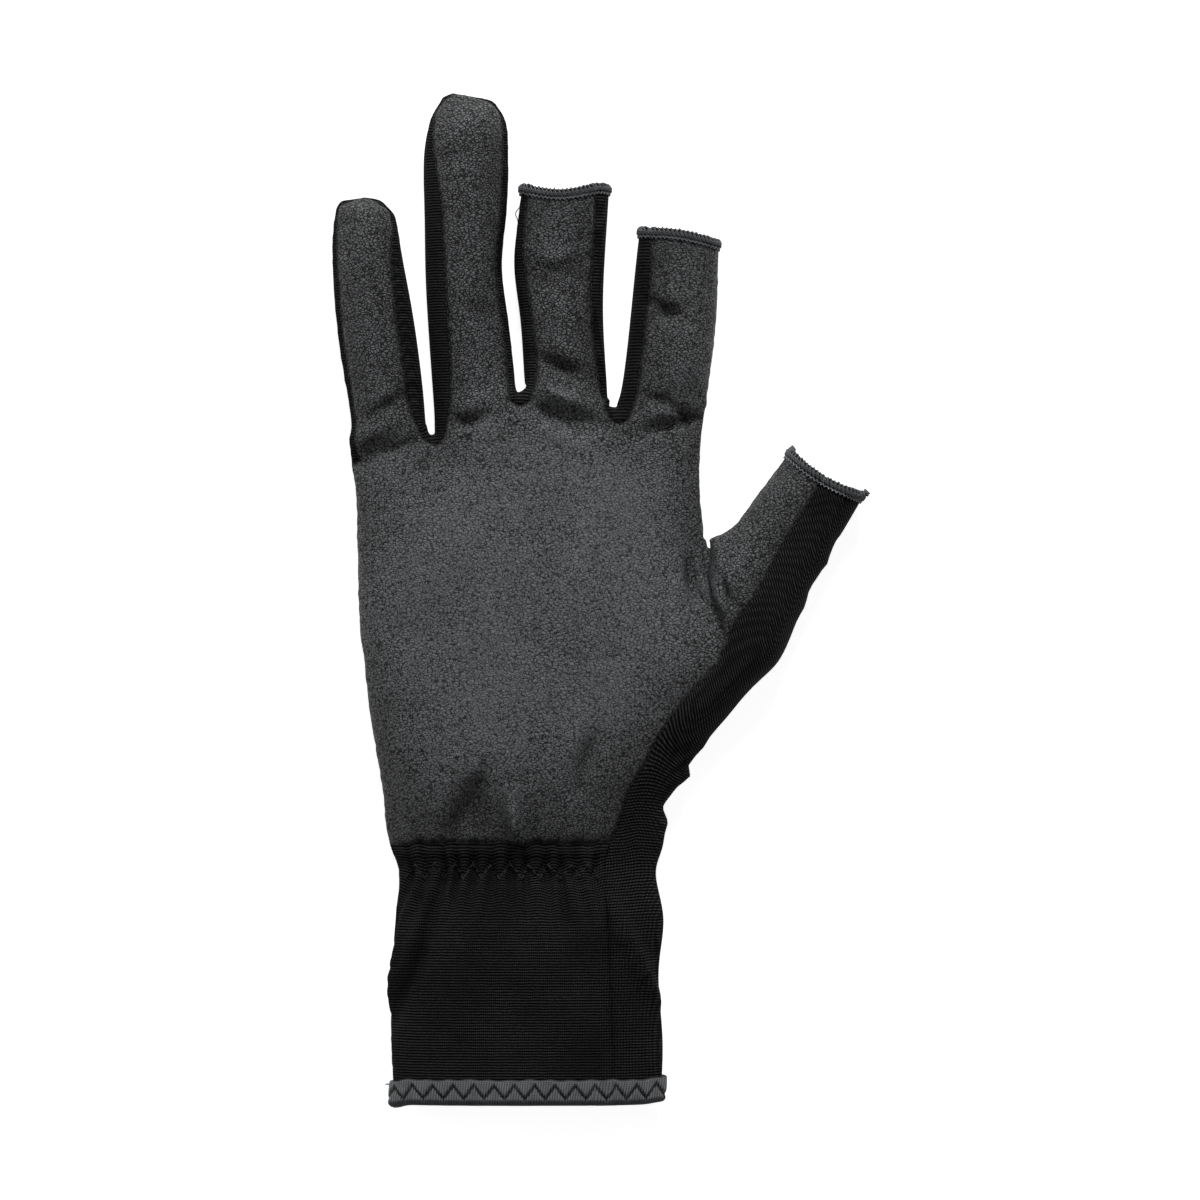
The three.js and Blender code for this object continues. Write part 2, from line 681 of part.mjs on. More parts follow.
// Doubles the columns of the cuff's front, and draws it into gathers under the wrist seam
function gather(cloth) {
  const { points, normals, faces } = cloth;
  const halves = new Map();
  const middle = (a, b) => {
    const key = edgeKey(a, b);
    if (!halves.has(key)) {
      points.push(points[a].clone().lerp(points[b], 0.5));
      normals.push(normals[a].clone().add(normals[b]).normalize());
      halves.set(key, points.length - 1);
    }
    return halves.get(key);
  };
  cloth.faces = faces.flatMap((corners) => {
    const runs = corners.map((corner, i) => {
      const step = points[corners[(i + 1) % 4]].clone().sub(points[corner]);
      return Math.hypot(step.x, step.z) > Math.abs(step.y);
    });
    const [a, b, c, d] = runs[0] ? corners : [...corners.slice(1), corners[0]];
    const low = middle(a, b);
    const high = middle(c, d);
    return [[a, low, high, d], [low, b, c, high]];
  });
  points.forEach((point, i) => {
    const down = -point.y / cuffLength;
    const row = cuffRows.findLast(({ down: end }) => end >= down - 1e-9) ?? cuffRows[0];
    const across = (point.x / cuffWidth - row.left) / (row.seam - row.left);
    const inside = Math.min(1, Math.max(0, across));
    point.addScaledVector(normals[i], -gatherIn(inside, down));
  });
  return cloth;
}

// A closed solid from triangles and quads given as lists of points' numbers
function solid(points, faces) {
  const geometry = new THREE.BufferGeometry();
  const places = points.flatMap((point) => point.toArray());
  geometry.setAttribute('position', new THREE.Float32BufferAttribute(places, 3));
  geometry.setIndex(faces.flatMap(([a, b, c, d]) => [a, b, c, a, c, d]));
  const shape = geometry.toNonIndexed();
  shape.computeVertexNormals();
  return shape;
}

// Gives a panel its wall: the cloth outside, its inner face, and a strip round every edge
function thicken({ points, normals, faces }, wall) {
  const count = points.length;
  const inner = points.map((point, i) => point.clone().addScaledVector(normals[i], -wall));
  const rims = [];
  edgesOf(faces.map((corners) => ({ corners }))).forEach(({ ends: [a, b], faces: touching }) => {
    if (touching.length === 1) rims.push([b, a, a + count, b + count]);
  });
  const inside = faces.map(([a, b, c, d]) => [d + count, c + count, b + count, a + count]);
  return solid([...points, ...inner], [...faces, ...inside, ...rims]);
}

// The closed line of refined points along a rim of the cage, with the direction out of the opening
function rimLine(cage, edgePoints, fine, normals, ring) {
  const ids = ring.flatMap((id, i) => [id, edgePoints.get(edgeKey(id, ring[(i + 1) % ring.length]))]);
  const edges = neighbours(fine);
  return ids.map((id) => {
    const inner = edges[id].edges.find((other) => !edges[id].rim.includes(other));
    const back = fine.points[inner];
    return { point: fine.points[id], normal: normals[id], back, backNormal: normals[inner] };
  });
}

// A closed band whose section, a ring of points, is given at each place of a rim line. It is pressed flat
// where it meets the surface that the glove lies on.
function band(line, sectionAt) {
  const sections = line.map(sectionAt);
  sections.flat().forEach((point) => point.setZ(Math.max(point.z, 0)));
  const size = sections[0].length;
  const faces = [];
  sections.forEach((_, i) => {
    const next = (i + 1) % sections.length;
    for (let k = 0; k < size; k += 1) {
      const up = (k + 1) % size;
      faces.push([i * size + k, i * size + up, next * size + up, next * size + k]);
    }
  });
  return solid(sections.flat(), faces);
}

// Overlock bead: a rounded six-sided cord that stands on the cloth's cut edge
const beadSides = 6;

function edgingGeometry(line) {
  const halfSide = Math.PI / beadSides;
  return band(line, ({ point, normal, back }) => {
    const out = point.clone().sub(back).normalize();
    const heart = point.clone()
      .addScaledVector(normal, -knitWall / 2)
      .addScaledVector(out, edgingClearance + edgingHeight / 2);
    return Array.from({ length: beadSides }, (_, k) => {
      const angle = (2 * k + 1) * halfSide;
      return heart.clone()
        .addScaledVector(normal, Math.cos(angle) / Math.cos(halfSide) * edgingThickness / 2)
        .addScaledVector(out, -Math.sin(angle) * edgingHeight / 2);
    });
  });
}

// Binding tape: a channel that takes in the hem, its legs following the cloth on both sides
function bindingGeometry(line) {
  return band(line, ({ point, normal, back, backNormal }) => {
    const run = back.distanceTo(point);
    const place = (rise, aside) => {
      const share = rise / run;
      const base = point.clone().lerp(back, Math.max(0, share));
      const out = point.clone().sub(back).normalize();
      if (share < 0) base.addScaledVector(out, -rise);
      const facing = normal.clone().lerp(backNormal, Math.max(0, share)).normalize();
      return base.addScaledVector(facing, aside);
    };
    const foot = -bindingClearance - bindingWall;
    const top = bindingHeight + foot;
    const outside = bindingClearance + bindingWall;
    const inside = -knitWall - bindingClearance - bindingWall;
    return [
      place(foot, outside),
      place(foot, inside),
      place(top, inside),
      place(top, inside + bindingWall),
      place(-bindingClearance, inside + bindingWall),
      place(-bindingClearance, outside - bindingWall),
      place(top, outside - bindingWall),
      place(top, outside),
    ];
  });
}

const finishes = {
  leather: { color: 0x3d3f42, roughness: 0.62, metalness: 0 },
  knit: { color: 0x141517, roughness: 0.92, metalness: 0 },
  tape: { color: 0x5d6064, roughness: 0.85, metalness: 0 },
};

function mesh(name, geometry, finish) {
  const made = new THREE.Mesh(geometry, new THREE.MeshStandardMaterial(finishes[finish]));
  made.name = name;
  return made;
}

const { skin: cage, rims } = buildSkin();
fit(cage);
const { fine, edgePoints } = refine(cage);
fine.points = limitPoints(fine, neighbours(fine));
const smoothNormals = normalsOf(fine);
foldSkin(fine, smoothNormals);

const glove = new THREE.Group();
Object.entries(walls).forEach(([panel, wall]) => {
  const cloth = cutPanel(fine, smoothNormals, panel);
  if (panel === 'cuff_panel') gather(cloth);
  glove.add(mesh(panel, thicken(cloth, wall), panel === 'palm_panel' ? 'leather' : 'knit'));
});
const lineOf = (ring) => rimLine(cage, edgePoints, fine, smoothNormals, ring);
glove.add(mesh('cuff_binding', bindingGeometry(lineOf(rims.hem)), 'tape'));
['middle', 'index', 'thumb'].forEach((name) => {
  glove.add(mesh(`${name}_edging`, edgingGeometry(lineOf(rims[name])), 'tape'));
});

// The origin is the middle of the outline, on the surface that the glove lies on
const outline = new THREE.Box3().setFromObject(glove).getCenter(new THREE.Vector3());
glove.position.set(-outline.x, -outline.y, 0);

export default glove;
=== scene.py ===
import math
from collections import defaultdict, namedtuple

import bmesh
import bpy
import numpy as np
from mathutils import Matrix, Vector, kdtree, noise
from mathutils.bvhtree import BVHTree


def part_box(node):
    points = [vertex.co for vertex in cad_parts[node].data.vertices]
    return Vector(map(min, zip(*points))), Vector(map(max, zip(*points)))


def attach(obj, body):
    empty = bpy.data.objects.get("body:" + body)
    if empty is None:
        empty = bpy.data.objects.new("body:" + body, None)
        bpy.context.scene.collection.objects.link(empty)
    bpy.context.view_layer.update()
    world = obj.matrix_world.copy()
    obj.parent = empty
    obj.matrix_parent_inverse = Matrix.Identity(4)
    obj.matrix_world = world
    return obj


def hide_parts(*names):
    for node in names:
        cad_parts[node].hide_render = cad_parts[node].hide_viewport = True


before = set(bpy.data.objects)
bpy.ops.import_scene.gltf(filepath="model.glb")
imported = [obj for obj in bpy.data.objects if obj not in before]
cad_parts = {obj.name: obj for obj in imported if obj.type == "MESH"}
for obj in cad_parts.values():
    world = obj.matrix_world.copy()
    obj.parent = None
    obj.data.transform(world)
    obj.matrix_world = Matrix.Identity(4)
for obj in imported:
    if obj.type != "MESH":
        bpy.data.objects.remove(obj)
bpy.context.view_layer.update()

# The glove is worked out in millimetres in its own frame: Y runs up the hand from the wrist seam, X across
# to the thumb, Z out of the palm. place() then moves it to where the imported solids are, in metres.
MM = 0.001

# Camera: straight above the glove, through a long lens
LENS = 150.0
SENSOR_WIDTH = 36.0
VIEW_WIDTH = 0.300
VIEW_CENTRE = (0.0001, -0.0002)
SIGHT_HEIGHT = 0.008


def make_camera():
    data = bpy.data.cameras.new("camera")
    data.lens = LENS
    data.sensor_width = SENSOR_WIDTH
    eye = bpy.data.objects.new("camera", data)
    distance = VIEW_WIDTH * LENS / SENSOR_WIDTH
    eye.location = (*VIEW_CENTRE, SIGHT_HEIGHT + distance)
    bpy.context.scene.collection.objects.link(eye)
    bpy.context.scene.camera = eye


make_camera()

# Driving sizes, in millimetres: hand and cuff
PALM_LENGTH = 106.5
PALM_THICKNESS = 16.0
WEB_WIDTH = 4.6
KNUCKLE_INSET = 1.3
CUFF_LENGTH = 63.8
CUFF_WIDTH = 67.5
CUFF_THICKNESS = 11.5

# Thumb
THUMB_LENGTH = 29.5
THUMB_WIDTH = 21.25
THUMB_THICKNESS = 14.0
THUMB_TURN = math.radians(55)

# Cloth, binding and edging
LEATHER_WALL = 1.2
KNIT_WALL = 1.0
BINDING_HEIGHT = 6.6
BINDING_WALL = 1.0
BINDING_CLEARANCE = 0.3
EDGING_HEIGHT = 2.4
EDGING_THICKNESS = 2.2
EDGING_CLEARANCE = 0.3
OPENING_DIP = 1.5

# Zigzag stitches of the binding, counted up from the hem
ZIGZAG_PITCH = 5.1
ZIGZAG_LOW = 0.4
ZIGZAG_HIGH = 3.7
TAPE_TOP = BINDING_HEIGHT - BINDING_WALL - BINDING_CLEARANCE - 0.25

# Wrist gathers
GATHER_COUNT = 12
GATHER_DEPTH = 2.1
GATHER_PEAK = 0.12
GATHER_END = 0.36

# Zigzag stitches of the wrist elastic, in the glove's own frame
ELASTIC_START = -30.4
ELASTIC_END = 17.9
ELASTIC_HIGH = -4.9
ELASTIC_LOW = -8.5
ELASTIC_PITCH = 4.6
ELASTIC_DENT = 0.5
ELASTIC_REACH = 0.9

# How the cloth lies
EDGE_HEIGHT = 0.42
FRONT_SQUARENESS = 2.4
BACK_SQUARENESS = 3.6
CUFF_EASE = 0.5
CUFF_LIFT = BINDING_WALL + BINDING_CLEARANCE
EDGING_PROUD = (EDGING_THICKNESS - KNIT_WALL) / 2
COLUMNS = 12

# Panels of the skin, by the number that its faces carry
PALM, BACK, CUFF, LITTLE_RING, RING_MIDDLE, MIDDLE_INDEX = range(6)


def table(columns, *rows):
    """Rows of values with their columns named."""
    row_type = namedtuple("Row", columns)
    return [row_type(*row) for row in rows]


# Sections of the cuff, as shares of its length, width and thickness
CUFF_ROWS = table(
    "down left seam right thick",
    (1.0, -0.5, 0.317, 0.494, 1.0),
    (0.75, -0.506, 0.315, 0.502, 1.0),
    (0.5, -0.502, 0.307, 0.486, 1.0),
    (0.293, -0.491, 0.294, 0.507, 0.98),
    (0.121, -0.478, 0.285, 0.476, 0.92),
    (0.0, -0.513, 0.309, 0.507, 0.95),
)

# Sections of the palm, as shares of its length, its width there and its thickness
PALM_ROWS = table(
    "up up_seam up_right thumb left seam right thick",
    (0.087, 0.087, 0.087, False, -0.528, 0.355, 0.508, 0.84),
    (0.19, 0.195, 0.16, False, -0.54, 0.43, 0.574, 0.97),
    (0.359, 0.357, 0.359, True, -0.545, 0.555, 0.8, 1.0),
    (0.523, 0.453, 0.523, True, -0.532, 0.615, 0.9, 1.0),
    (0.7, 0.636, 0.697, False, -0.508, 0.527, 0.54, 0.98),
    (0.84, 0.857, 0.852, False, -0.497, 0.48, 0.496, 0.9),
)

# The knuckle line
KNUCKLE_THICK = 0.82
KNUCKLE_EDGES = (0.894, 1.005)
KNUCKLE_VALLEY = 0.93
WEB_PINCH = 0.31

# Sections of the fingers, as shares of their length, width and thickness
FINGER_COLUMNS = "up_left up_right left seam_left seam_right right thick"
Finger = namedtuple("Finger", "name length width thickness root rise web lean panels rows tip dip")


def strips(left, right_front, right_back):
    """Panels of a finger's eight strips, in the order of its ring."""
    return [left, PALM, PALM, right_front, right_back, BACK, BACK, left]


FINGERS = [
    Finger(
        "little", 55.25, 19.0, 11.5, 0.974, (0.901, 0.932, 0.953), 0.972, -0.2,
        strips(BACK, LITTLE_RING, LITTLE_RING),
        table(
            FINGER_COLUMNS,
            (-0.01, 0.077, -0.484, -0.43, 0.306, 0.475, 1.04),
            (0.235, 0.303, -0.596, -0.55, 0.2, 0.398, 1.02),
            (0.529, 0.529, -0.701, -0.648, 0.108, 0.299, 1.0),
            (0.756, 0.756, -0.726, -0.69, 0.075, 0.174, 0.94),
            (0.905, 0.905, -0.698, -0.686, 0.07, 0.088, 0.78),
            (0.966, 0.966, -0.62, -0.608, -0.045, -0.026, 0.52),
        ),
        (1.0, -0.326, 0.3), 0.0,
    ),
    Finger(
        "ring", 81.0, 20.5, 12.5, 0.83, (0.953, 1.005, 1.042), 1.066, 0.0,
        strips(LITTLE_RING, RING_MIDDLE, RING_MIDDLE),
        table(
            FINGER_COLUMNS,
            (0.077, 0.139, -0.545, -0.332, 0.39, 0.449, 1.03),
            (0.284, 0.284, -0.602, -0.356, 0.335, 0.388, 1.0),
            (0.469, 0.469, -0.637, -0.405, 0.285, 0.339, 0.98),
            (0.67, 0.67, -0.645, -0.436, 0.318, 0.363, 0.95),
            (0.84, 0.84, -0.626, -0.53, 0.335, 0.363, 0.88),
            (0.926, 0.926, -0.528, -0.505, 0.3, 0.316, 0.74),
            (0.977, 0.974, -0.43, -0.415, 0.17, 0.186, 0.5),
        ),
        (1.0, -0.161, 0.3), 0.0,
    ),
    Finger(
        "middle", 56.0, 22.0, 12.5, 0.91, (1.042, 1.031, 1.002), 1.031, -0.42,
        strips(RING_MIDDLE, MIDDLE_INDEX, MIDDLE_INDEX),
        table(
            FINGER_COLUMNS,
            (0.201, 0.143, -0.52, -0.394, 0.356, 0.424, 1.03),
            (0.433, 0.433, -0.555, -0.43, 0.265, 0.384, 1.0),
            (0.723, 0.723, -0.592, -0.5, 0.276, 0.401, 0.96),
            (1.0, 1.0, -0.548, -0.505, 0.299, 0.447, 0.92),
        ),
        None, 1.0,
    ),
    Finger(
        "index", 44.75, 21.5, 12.5, 0.885, (0.998, 1.012, 1.012), None, None,
        strips(MIDDLE_INDEX, PALM, BACK),
        table(
            FINGER_COLUMNS,
            (0.179, 0.235, -0.514, -0.336, 0.428, 0.51, 1.03),
            (0.5, 0.48, -0.427, -0.27, 0.498, 0.573, 1.0),
            (0.765, 0.7, -0.374, -0.2, 0.533, 0.603, 0.96),
            (1.017, 0.944, -0.316, -0.2, 0.545, 0.614, 0.92),
        ),
        None, -0.4,
    ),
]

# Sections of the thumb: along and across at its inner and its outer edge, from the crotch
THUMB_ROWS = table(
    "inner outer seam thick",
    ((0.04, 0.01), (-0.906, 1.341), 0.57, 1.14),
    ((0.135, 0.075), (-0.458, 1.451), 0.51, 1.12),
    ((0.37, 0.12), (-0.023, 1.335), 0.5, 1.05),
    ((0.68, 0.132), (0.528, 1.225), 0.5, 0.96),
    ((1.0, 0.128), (1.055, 1.161), 0.5, 0.86),
)
THUMB_COLUMNS = (0.4, (0.0, 0.4, 0.76))

# Broad folds and dents of the front: middle, turn in degrees, length, half width and depth
FOLDS = table(
    "x y turn long wide deep",
    (42.0, 65.6, 84, 9.0, 2.2, 0.9),
    (49.6, 63.0, 115, 9.0, 2.2, 0.9),
    (-38.0, 97.8, 25, 13.6, 2.7, 1.4),
    (-11.5, 106.0, 20, 11.2, 2.6, 1.1),
    (9.7, 107.0, -15, 17.6, 2.7, 1.4),
    (37.1, 104.9, 15, 14.4, 2.6, 1.3),
    (-14.1, 9.6, 65, 17.6, 4.2, 1.0),
    (-3.1, 6.4, 95, 12.8, 3.2, -1.0),
    (15.9, 22.4, 70, 14.4, 3.6, 0.8),
    (-34.7, 109.3, 30, 9.6, 2.2, 0.8),
    (7.4, 142.9, -20, 11.2, 2.2, 1.0),
    (8.1, 118.8, -25, 12.8, 2.2, 1.0),
    (35.0, 132.9, -30, 9.6, 2.2, 1.0),
    (27.0, -26.8, -66, 24.0, 2.2, -1.6),
    (-28.4, -31.9, 70, 22.4, 2.2, 1.6),
)

# Finer creases, each an arc through three points. A negative depth is a ridge.
CREASES = table(
    "start middle end wide deep",
    ((40.8, 71.6), (40.6, 67.0), (42.4, 62.8), 1.2, 1.3),
    ((42.9, 71.4), (43.9, 65.2), (46.0, 60.2), 0.7, -1.0),
    ((44.0, 69.0), (45.3, 63.2), (47.2, 57.8), 0.7, 1.2),
    ((42.2, 64.6), (44.0, 60.8), (46.8, 57.6), 0.8, 0.9),
    ((46.0, 69.0), (47.2, 63.6), (48.6, 58.8), 0.7, -0.5),
    ((48.4, 65.6), (49.4, 62.6), (51.0, 59.0), 0.9, 0.8),
    ((-43.6, 99.0), (-39.6, 100.0), (-35.6, 102.0), 1.2, 0.6),
    ((-38.1, 97.8), (-32.1, 99.2), (-26.6, 101.8), 1.3, 0.7),
    ((-42.6, 96.8), (-35.4, 99.0), (-27.9, 103.2), 1.2, -0.4),
    ((-20.1, 107.8), (-16.6, 105.8), (-12.1, 106.2), 1.5, 0.7),
    ((-12.6, 104.8), (-8.6, 107.2), (-5.9, 110.2), 1.5, -0.5),
    ((2.1, 109.5), (8.9, 105.0), (16.4, 103.0), 1.6, 0.9),
    ((2.6, 106.2), (7.4, 102.2), (14.6, 99.0), 1.8, -0.5),
    ((2.9, 115.8), (7.4, 112.5), (12.6, 110.2), 1.4, -0.7),
    ((6.4, 121.5), (9.9, 119.2), (14.1, 118.5), 1.8, 0.8),
    ((28.9, 111.2), (35.4, 109.8), (40.9, 104.8), 1.4, 0.8),
    ((32.1, 107.8), (36.4, 106.2), (39.4, 101.8), 1.4, -0.4),
    ((-0.1, 142.5), (4.9, 140.2), (10.4, 137.5), 1.6, 0.8),
    ((8.4, 145.2), (11.4, 144.8), (14.4, 146.0), 2.0, 0.7),
    ((2.4, 145.2), (6.6, 143.8), (11.4, 140.8), 1.5, -0.4),
    ((-15.1, 134.8), (-11.1, 133.5), (-7.4, 134.5), 2.2, 0.6),
    ((-21.6, 172.8), (-18.6, 172.0), (-14.1, 173.2), 2.5, 0.4),
    ((30.9, 130.2), (35.4, 132.8), (40.9, 134.2), 1.8, 0.6),
    ((-47.4, 158.2), (-44.1, 155.2), (-38.6, 157.2), 2.0, 0.4),
    ((-17.9, 17.0), (-16.1, 10.8), (-18.6, 1.2), 2.5, 0.6),
    ((-10.9, 18.2), (-12.1, 10.8), (-11.1, 1.2), 2.0, 0.8),
    ((-4.6, 13.2), (-3.6, 7.0), (-2.1, 0.8), 2.0, -0.8),
    ((15.9, 27.0), (14.6, 18.2), (13.4, 10.8), 2.5, 0.5),
    ((37.6, 25.2), (38.4, 21.8), (39.9, 17.8), 0.9, 1.0),
    ((20.6, -13.8), (25.4, -25.5), (32.1, -39.2), 1.0, -1.0),
    ((-31.6, -15.5), (-34.6, -29.2), (-35.9, -46.8), 1.3, 1.0),
    ((-30.4, -14.2), (-32.6, -26.8), (-34.1, -41.8), 1.1, -0.9),
    ((-21.6, -9.2), (-25.4, -21.8), (-27.9, -39.2), 1.4, 0.8),
    ((8.4, -9.2), (10.9, -21.8), (12.1, -35.5), 1.6, 0.7),
)

FOLD_STRENGTH = 1.5
WRIST_WAVE = 0.8

# Small pushes of the outline: place, push across and up, and reach
NUDGES = table(
    "x y across up reach",
    (-18.4, 187.5, -0.3, 0.9, 3.5),
    (-23.5, 183.0, -0.5, 0.3, 3.0),
    (-41.5, 163.5, 0.0, 0.8, 4.0),
    (-47.0, 160.5, -0.6, 0.4, 2.5),
    (-9.0, 185.0, 0.2, 0.3, 3.0),
    (-25.4, 171.5, -0.35, 0.0, 12.0),
    (-2.6, 145.0, -0.9, 0.0, 10.0),
    (-40.5, 62.0, -0.3, 0.0, 14.0),
    (-38.5, 30.0, -0.35, 0.0, 14.0),
    (-35.0, 5.0, -0.35, 0.0, 8.0),
    (-32.5, -15.0, -0.3, 0.0, 8.0),
    (-33.0, -45.0, -0.3, 0.0, 10.0),
    (58.0, 86.0, -0.35, 0.3, 8.0),
    (48.0, 76.0, -0.3, 1.2, 4.0),
    (44.5, 73.9, 0.0, 1.6, 1.6),
    (45.6, 75.6, -1.0, 0.0, 1.2),
    (76.8, 75.5, -0.3, 0.2, 1.8),
    (74.6, 70.2, 0.5, -0.3, 1.8),
    (71.4, 63.6, -0.4, 0.2, 1.6),
    (70.2, 58.6, 0.5, -0.3, 2.2),
    (39.9, 16.2, 1.5, -0.3, 1.6),
    (41.2, 20.5, -1.3, 0.9, 2.0),
    (45.0, 27.0, -0.6, 0.4, 5.0),
    (35.2, 5.2, 0.9, 0.0, 2.0),
    (34.4, 9.0, -0.6, 0.1, 1.6),
    (-33.4, -64.0, -0.1, -0.9, 2.6),
    (-25.0, 104.0, 0.0, 0.8, 0.8),
    (-23.4, 103.3, 0.2, -0.5, 0.8),
    (-1.0, 114.0, 0.4, 0.7, 0.8),
    (-2.6, 113.2, 0.0, -0.4, 0.8),
    (19.8, 110.4, 0.4, 0.7, 0.8),
    (21.9, 109.6, 0.4, -0.4, 0.8),
    (33.0, -64.0, 0.1, 0.4, 2.6),
)

# How deep a seam sinks and how far from it the cloth starts to turn in, by the two panels that it joins
SEAMS = {
    (PALM, BACK): (0.55, 0.9),
    (PALM, CUFF): (0.8, 1.1),
    (PALM, LITTLE_RING): (0.6, 0.9),
    (PALM, RING_MIDDLE): (0.6, 0.9),
    (PALM, MIDDLE_INDEX): (0.6, 0.9),
    (BACK, CUFF): (0.35, 0.8),
    (BACK, LITTLE_RING): (0.3, 0.7),
    (BACK, RING_MIDDLE): (0.3, 0.7),
    (BACK, MIDDLE_INDEX): (0.3, 0.7),
}


def lerp(start, end, share):
    return start + (end - start) * share


def smooth(value):
    held = np.clip(value, 0.0, 1.0)
    return held * held * (3 - 2 * held)


KNUCKLE_WIDTH = sum(f.width * f.root for f in FINGERS) + WEB_WIDTH * (len(FINGERS) - 1)


def finger_roots():
    """Start and end of each finger's root along the knuckle line."""
    roots = []
    x = -KNUCKLE_WIDTH / 2
    for finger in FINGERS:
        end = x + finger.width * finger.root
        roots.append((x, end))
        x = end + WEB_WIDTH
    return roots


ROOTS = finger_roots()


def knuckle_columns():
    """The twelve columns of the knuckle line, three on each finger, as places across and up."""
    places = []
    for i, (finger, (start, end)) in enumerate(zip(FINGERS, ROOTS)):
        start += KNUCKLE_INSET if i == 0 else 0
        end -= KNUCKLE_INSET if i == len(FINGERS) - 1 else 0
        xs = (start, (start + end) / 2, end)
        places += [(x, rise * PALM_LENGTH) for x, rise in zip(xs, finger.rise)]
    return places


KNUCKLE_COLUMNS = knuckle_columns()


def heights(across, thickness, lift=0.0):
    """Heights of a section's edge, front and back at a place across it, from -1 to 1."""
    reach = min(1.0, abs(across))
    edge = lift + EDGE_HEIGHT * thickness
    front = (1 - reach**FRONT_SQUARENESS) ** (1 / FRONT_SQUARENESS)
    back = (1 - reach**BACK_SQUARENESS) ** (1 / BACK_SQUARENESS)
    return (
        edge,
        edge + (1 - EDGE_HEIGHT) * thickness * front,
        edge - EDGE_HEIGHT * thickness * back,
    )


def spread(row, up, left_y, seam_y, width):
    """Columns of a body section: even at the wrist, and as the fingers need at the knuckles."""
    first, last = -KNUCKLE_WIDTH / 2, KNUCKLE_COLUMNS[-1][0]
    places = []
    for j in range(COLUMNS):
        knuckle = (KNUCKLE_COLUMNS[j][0] - first) / (last - first)
        share = lerp((j + 1) / COLUMNS, knuckle, smooth(up))
        places.append((width * lerp(row.left, row.seam, share), lerp(left_y, seam_y, share)))
    return places


def body_ring(left, right, columns, thickness, lift=0.0, valleys=()):
    """One ring round the hand: left edge, front columns, right edge, back columns in reverse."""
    middle = (left[0] + right[0]) / 2
    half = (right[0] - left[0]) / 2
    front, back = [], []
    for j, (x, y) in enumerate(columns):
        edge, high, low = heights((x - middle) / half, thickness, lift)
        front.append((x, y, lerp(edge, high, KNUCKLE_VALLEY) if j in valleys else high))
        back.append((x, y, low))
    edge = heights(1, thickness, lift)[0]
    return [(*left, edge), *front, (*right, edge), *reversed(back)]


def cuff_ring(row):
    y = -row.down * CUFF_LENGTH
    return body_ring(
        (row.left * CUFF_WIDTH, y),
        (row.right * CUFF_WIDTH, y),
        spread(row, 0.0, y, y, CUFF_WIDTH),
        row.thick * CUFF_THICKNESS,
        CUFF_LIFT * smooth(row.down / CUFF_EASE),
    )


def palm_ring(row):
    width = lerp(CUFF_WIDTH, KNUCKLE_WIDTH, smooth(row.up))
    left_y = row.up * PALM_LENGTH
    return body_ring(
        (row.left * width, left_y),
        (row.right * width, row.up_right * PALM_LENGTH),
        spread(row, row.up, left_y, row.up_seam * PALM_LENGTH, width),
        row.thick * PALM_THICKNESS,
    )


def knuckle_ring():
    left, right = (up * PALM_LENGTH for up in KNUCKLE_EDGES)
    return body_ring(
        (-KNUCKLE_WIDTH / 2, left),
        (KNUCKLE_WIDTH / 2, right),
        KNUCKLE_COLUMNS,
        KNUCKLE_THICK * PALM_THICKNESS,
        valleys=[j for j in range(COLUMNS) if j % 3 != 1],
    )


def finger_ring(finger, root, row, is_opening):
    """A finger's section: left edge, three points of the front, right edge, three of the back."""
    centre = sum(root) / 2
    middle = (row.left + row.right) / 2
    half = (row.right - row.left) / 2
    lift = EDGING_PROUD if is_opening else 0.0

    def point(share, side, dip=0.0):
        up = lerp(row.up_left, row.up_right, (share - row.left) / (row.right - row.left))
        level = heights((share - middle) / half, row.thick * finger.thickness, lift)[side]
        return (centre + share * finger.width, PALM_LENGTH + up * finger.length - dip, level)

    seams = (row.seam_left, (row.seam_left + row.seam_right) / 2, row.seam_right)
    dips = (0.0, finger.dip * OPENING_DIP if is_opening else 0.0, 0.0)
    front = [point(share, 1, dip) for share, dip in zip(seams, dips)]
    back = [point(share, 2, dip) for share, dip in zip(seams, dips)]
    return [point(row.left, 0), *front, point(row.right, 0), *reversed(back)]


def thumb_ring(row, crotch, is_opening):
    """The thumb's section: inner edge, four points of the front, outer edge, four of the back."""
    lift = EDGING_PROUD if is_opening else 0.0
    before, after = THUMB_COLUMNS
    shares = [row.seam * before, *(lerp(row.seam, 1.0, share) for share in after)]

    def point(share, side):
        dip = OPENING_DIP * (1 - (2 * share - 1) ** 2) if is_opening else 0.0
        along = lerp(row.inner[0], row.outer[0], share) * THUMB_LENGTH - dip
        across = lerp(row.inner[1], row.outer[1], share) * THUMB_WIDTH
        x = crotch.x + along * math.cos(THUMB_TURN) + across * math.sin(THUMB_TURN)
        y = crotch.y + along * math.sin(THUMB_TURN) - across * math.cos(THUMB_TURN)
        return (x, y, heights(2 * share - 1, row.thick * THUMB_THICKNESS, lift)[side])

    front = [point(share, 1) for share in shares]
    back = [point(share, 2) for share in shares]
    return [point(0.0, 0), *front, point(1.0, 0), *reversed(back)]


def pairs_round(ring):
    return list(zip(ring, ring[1:] + ring[:1]))


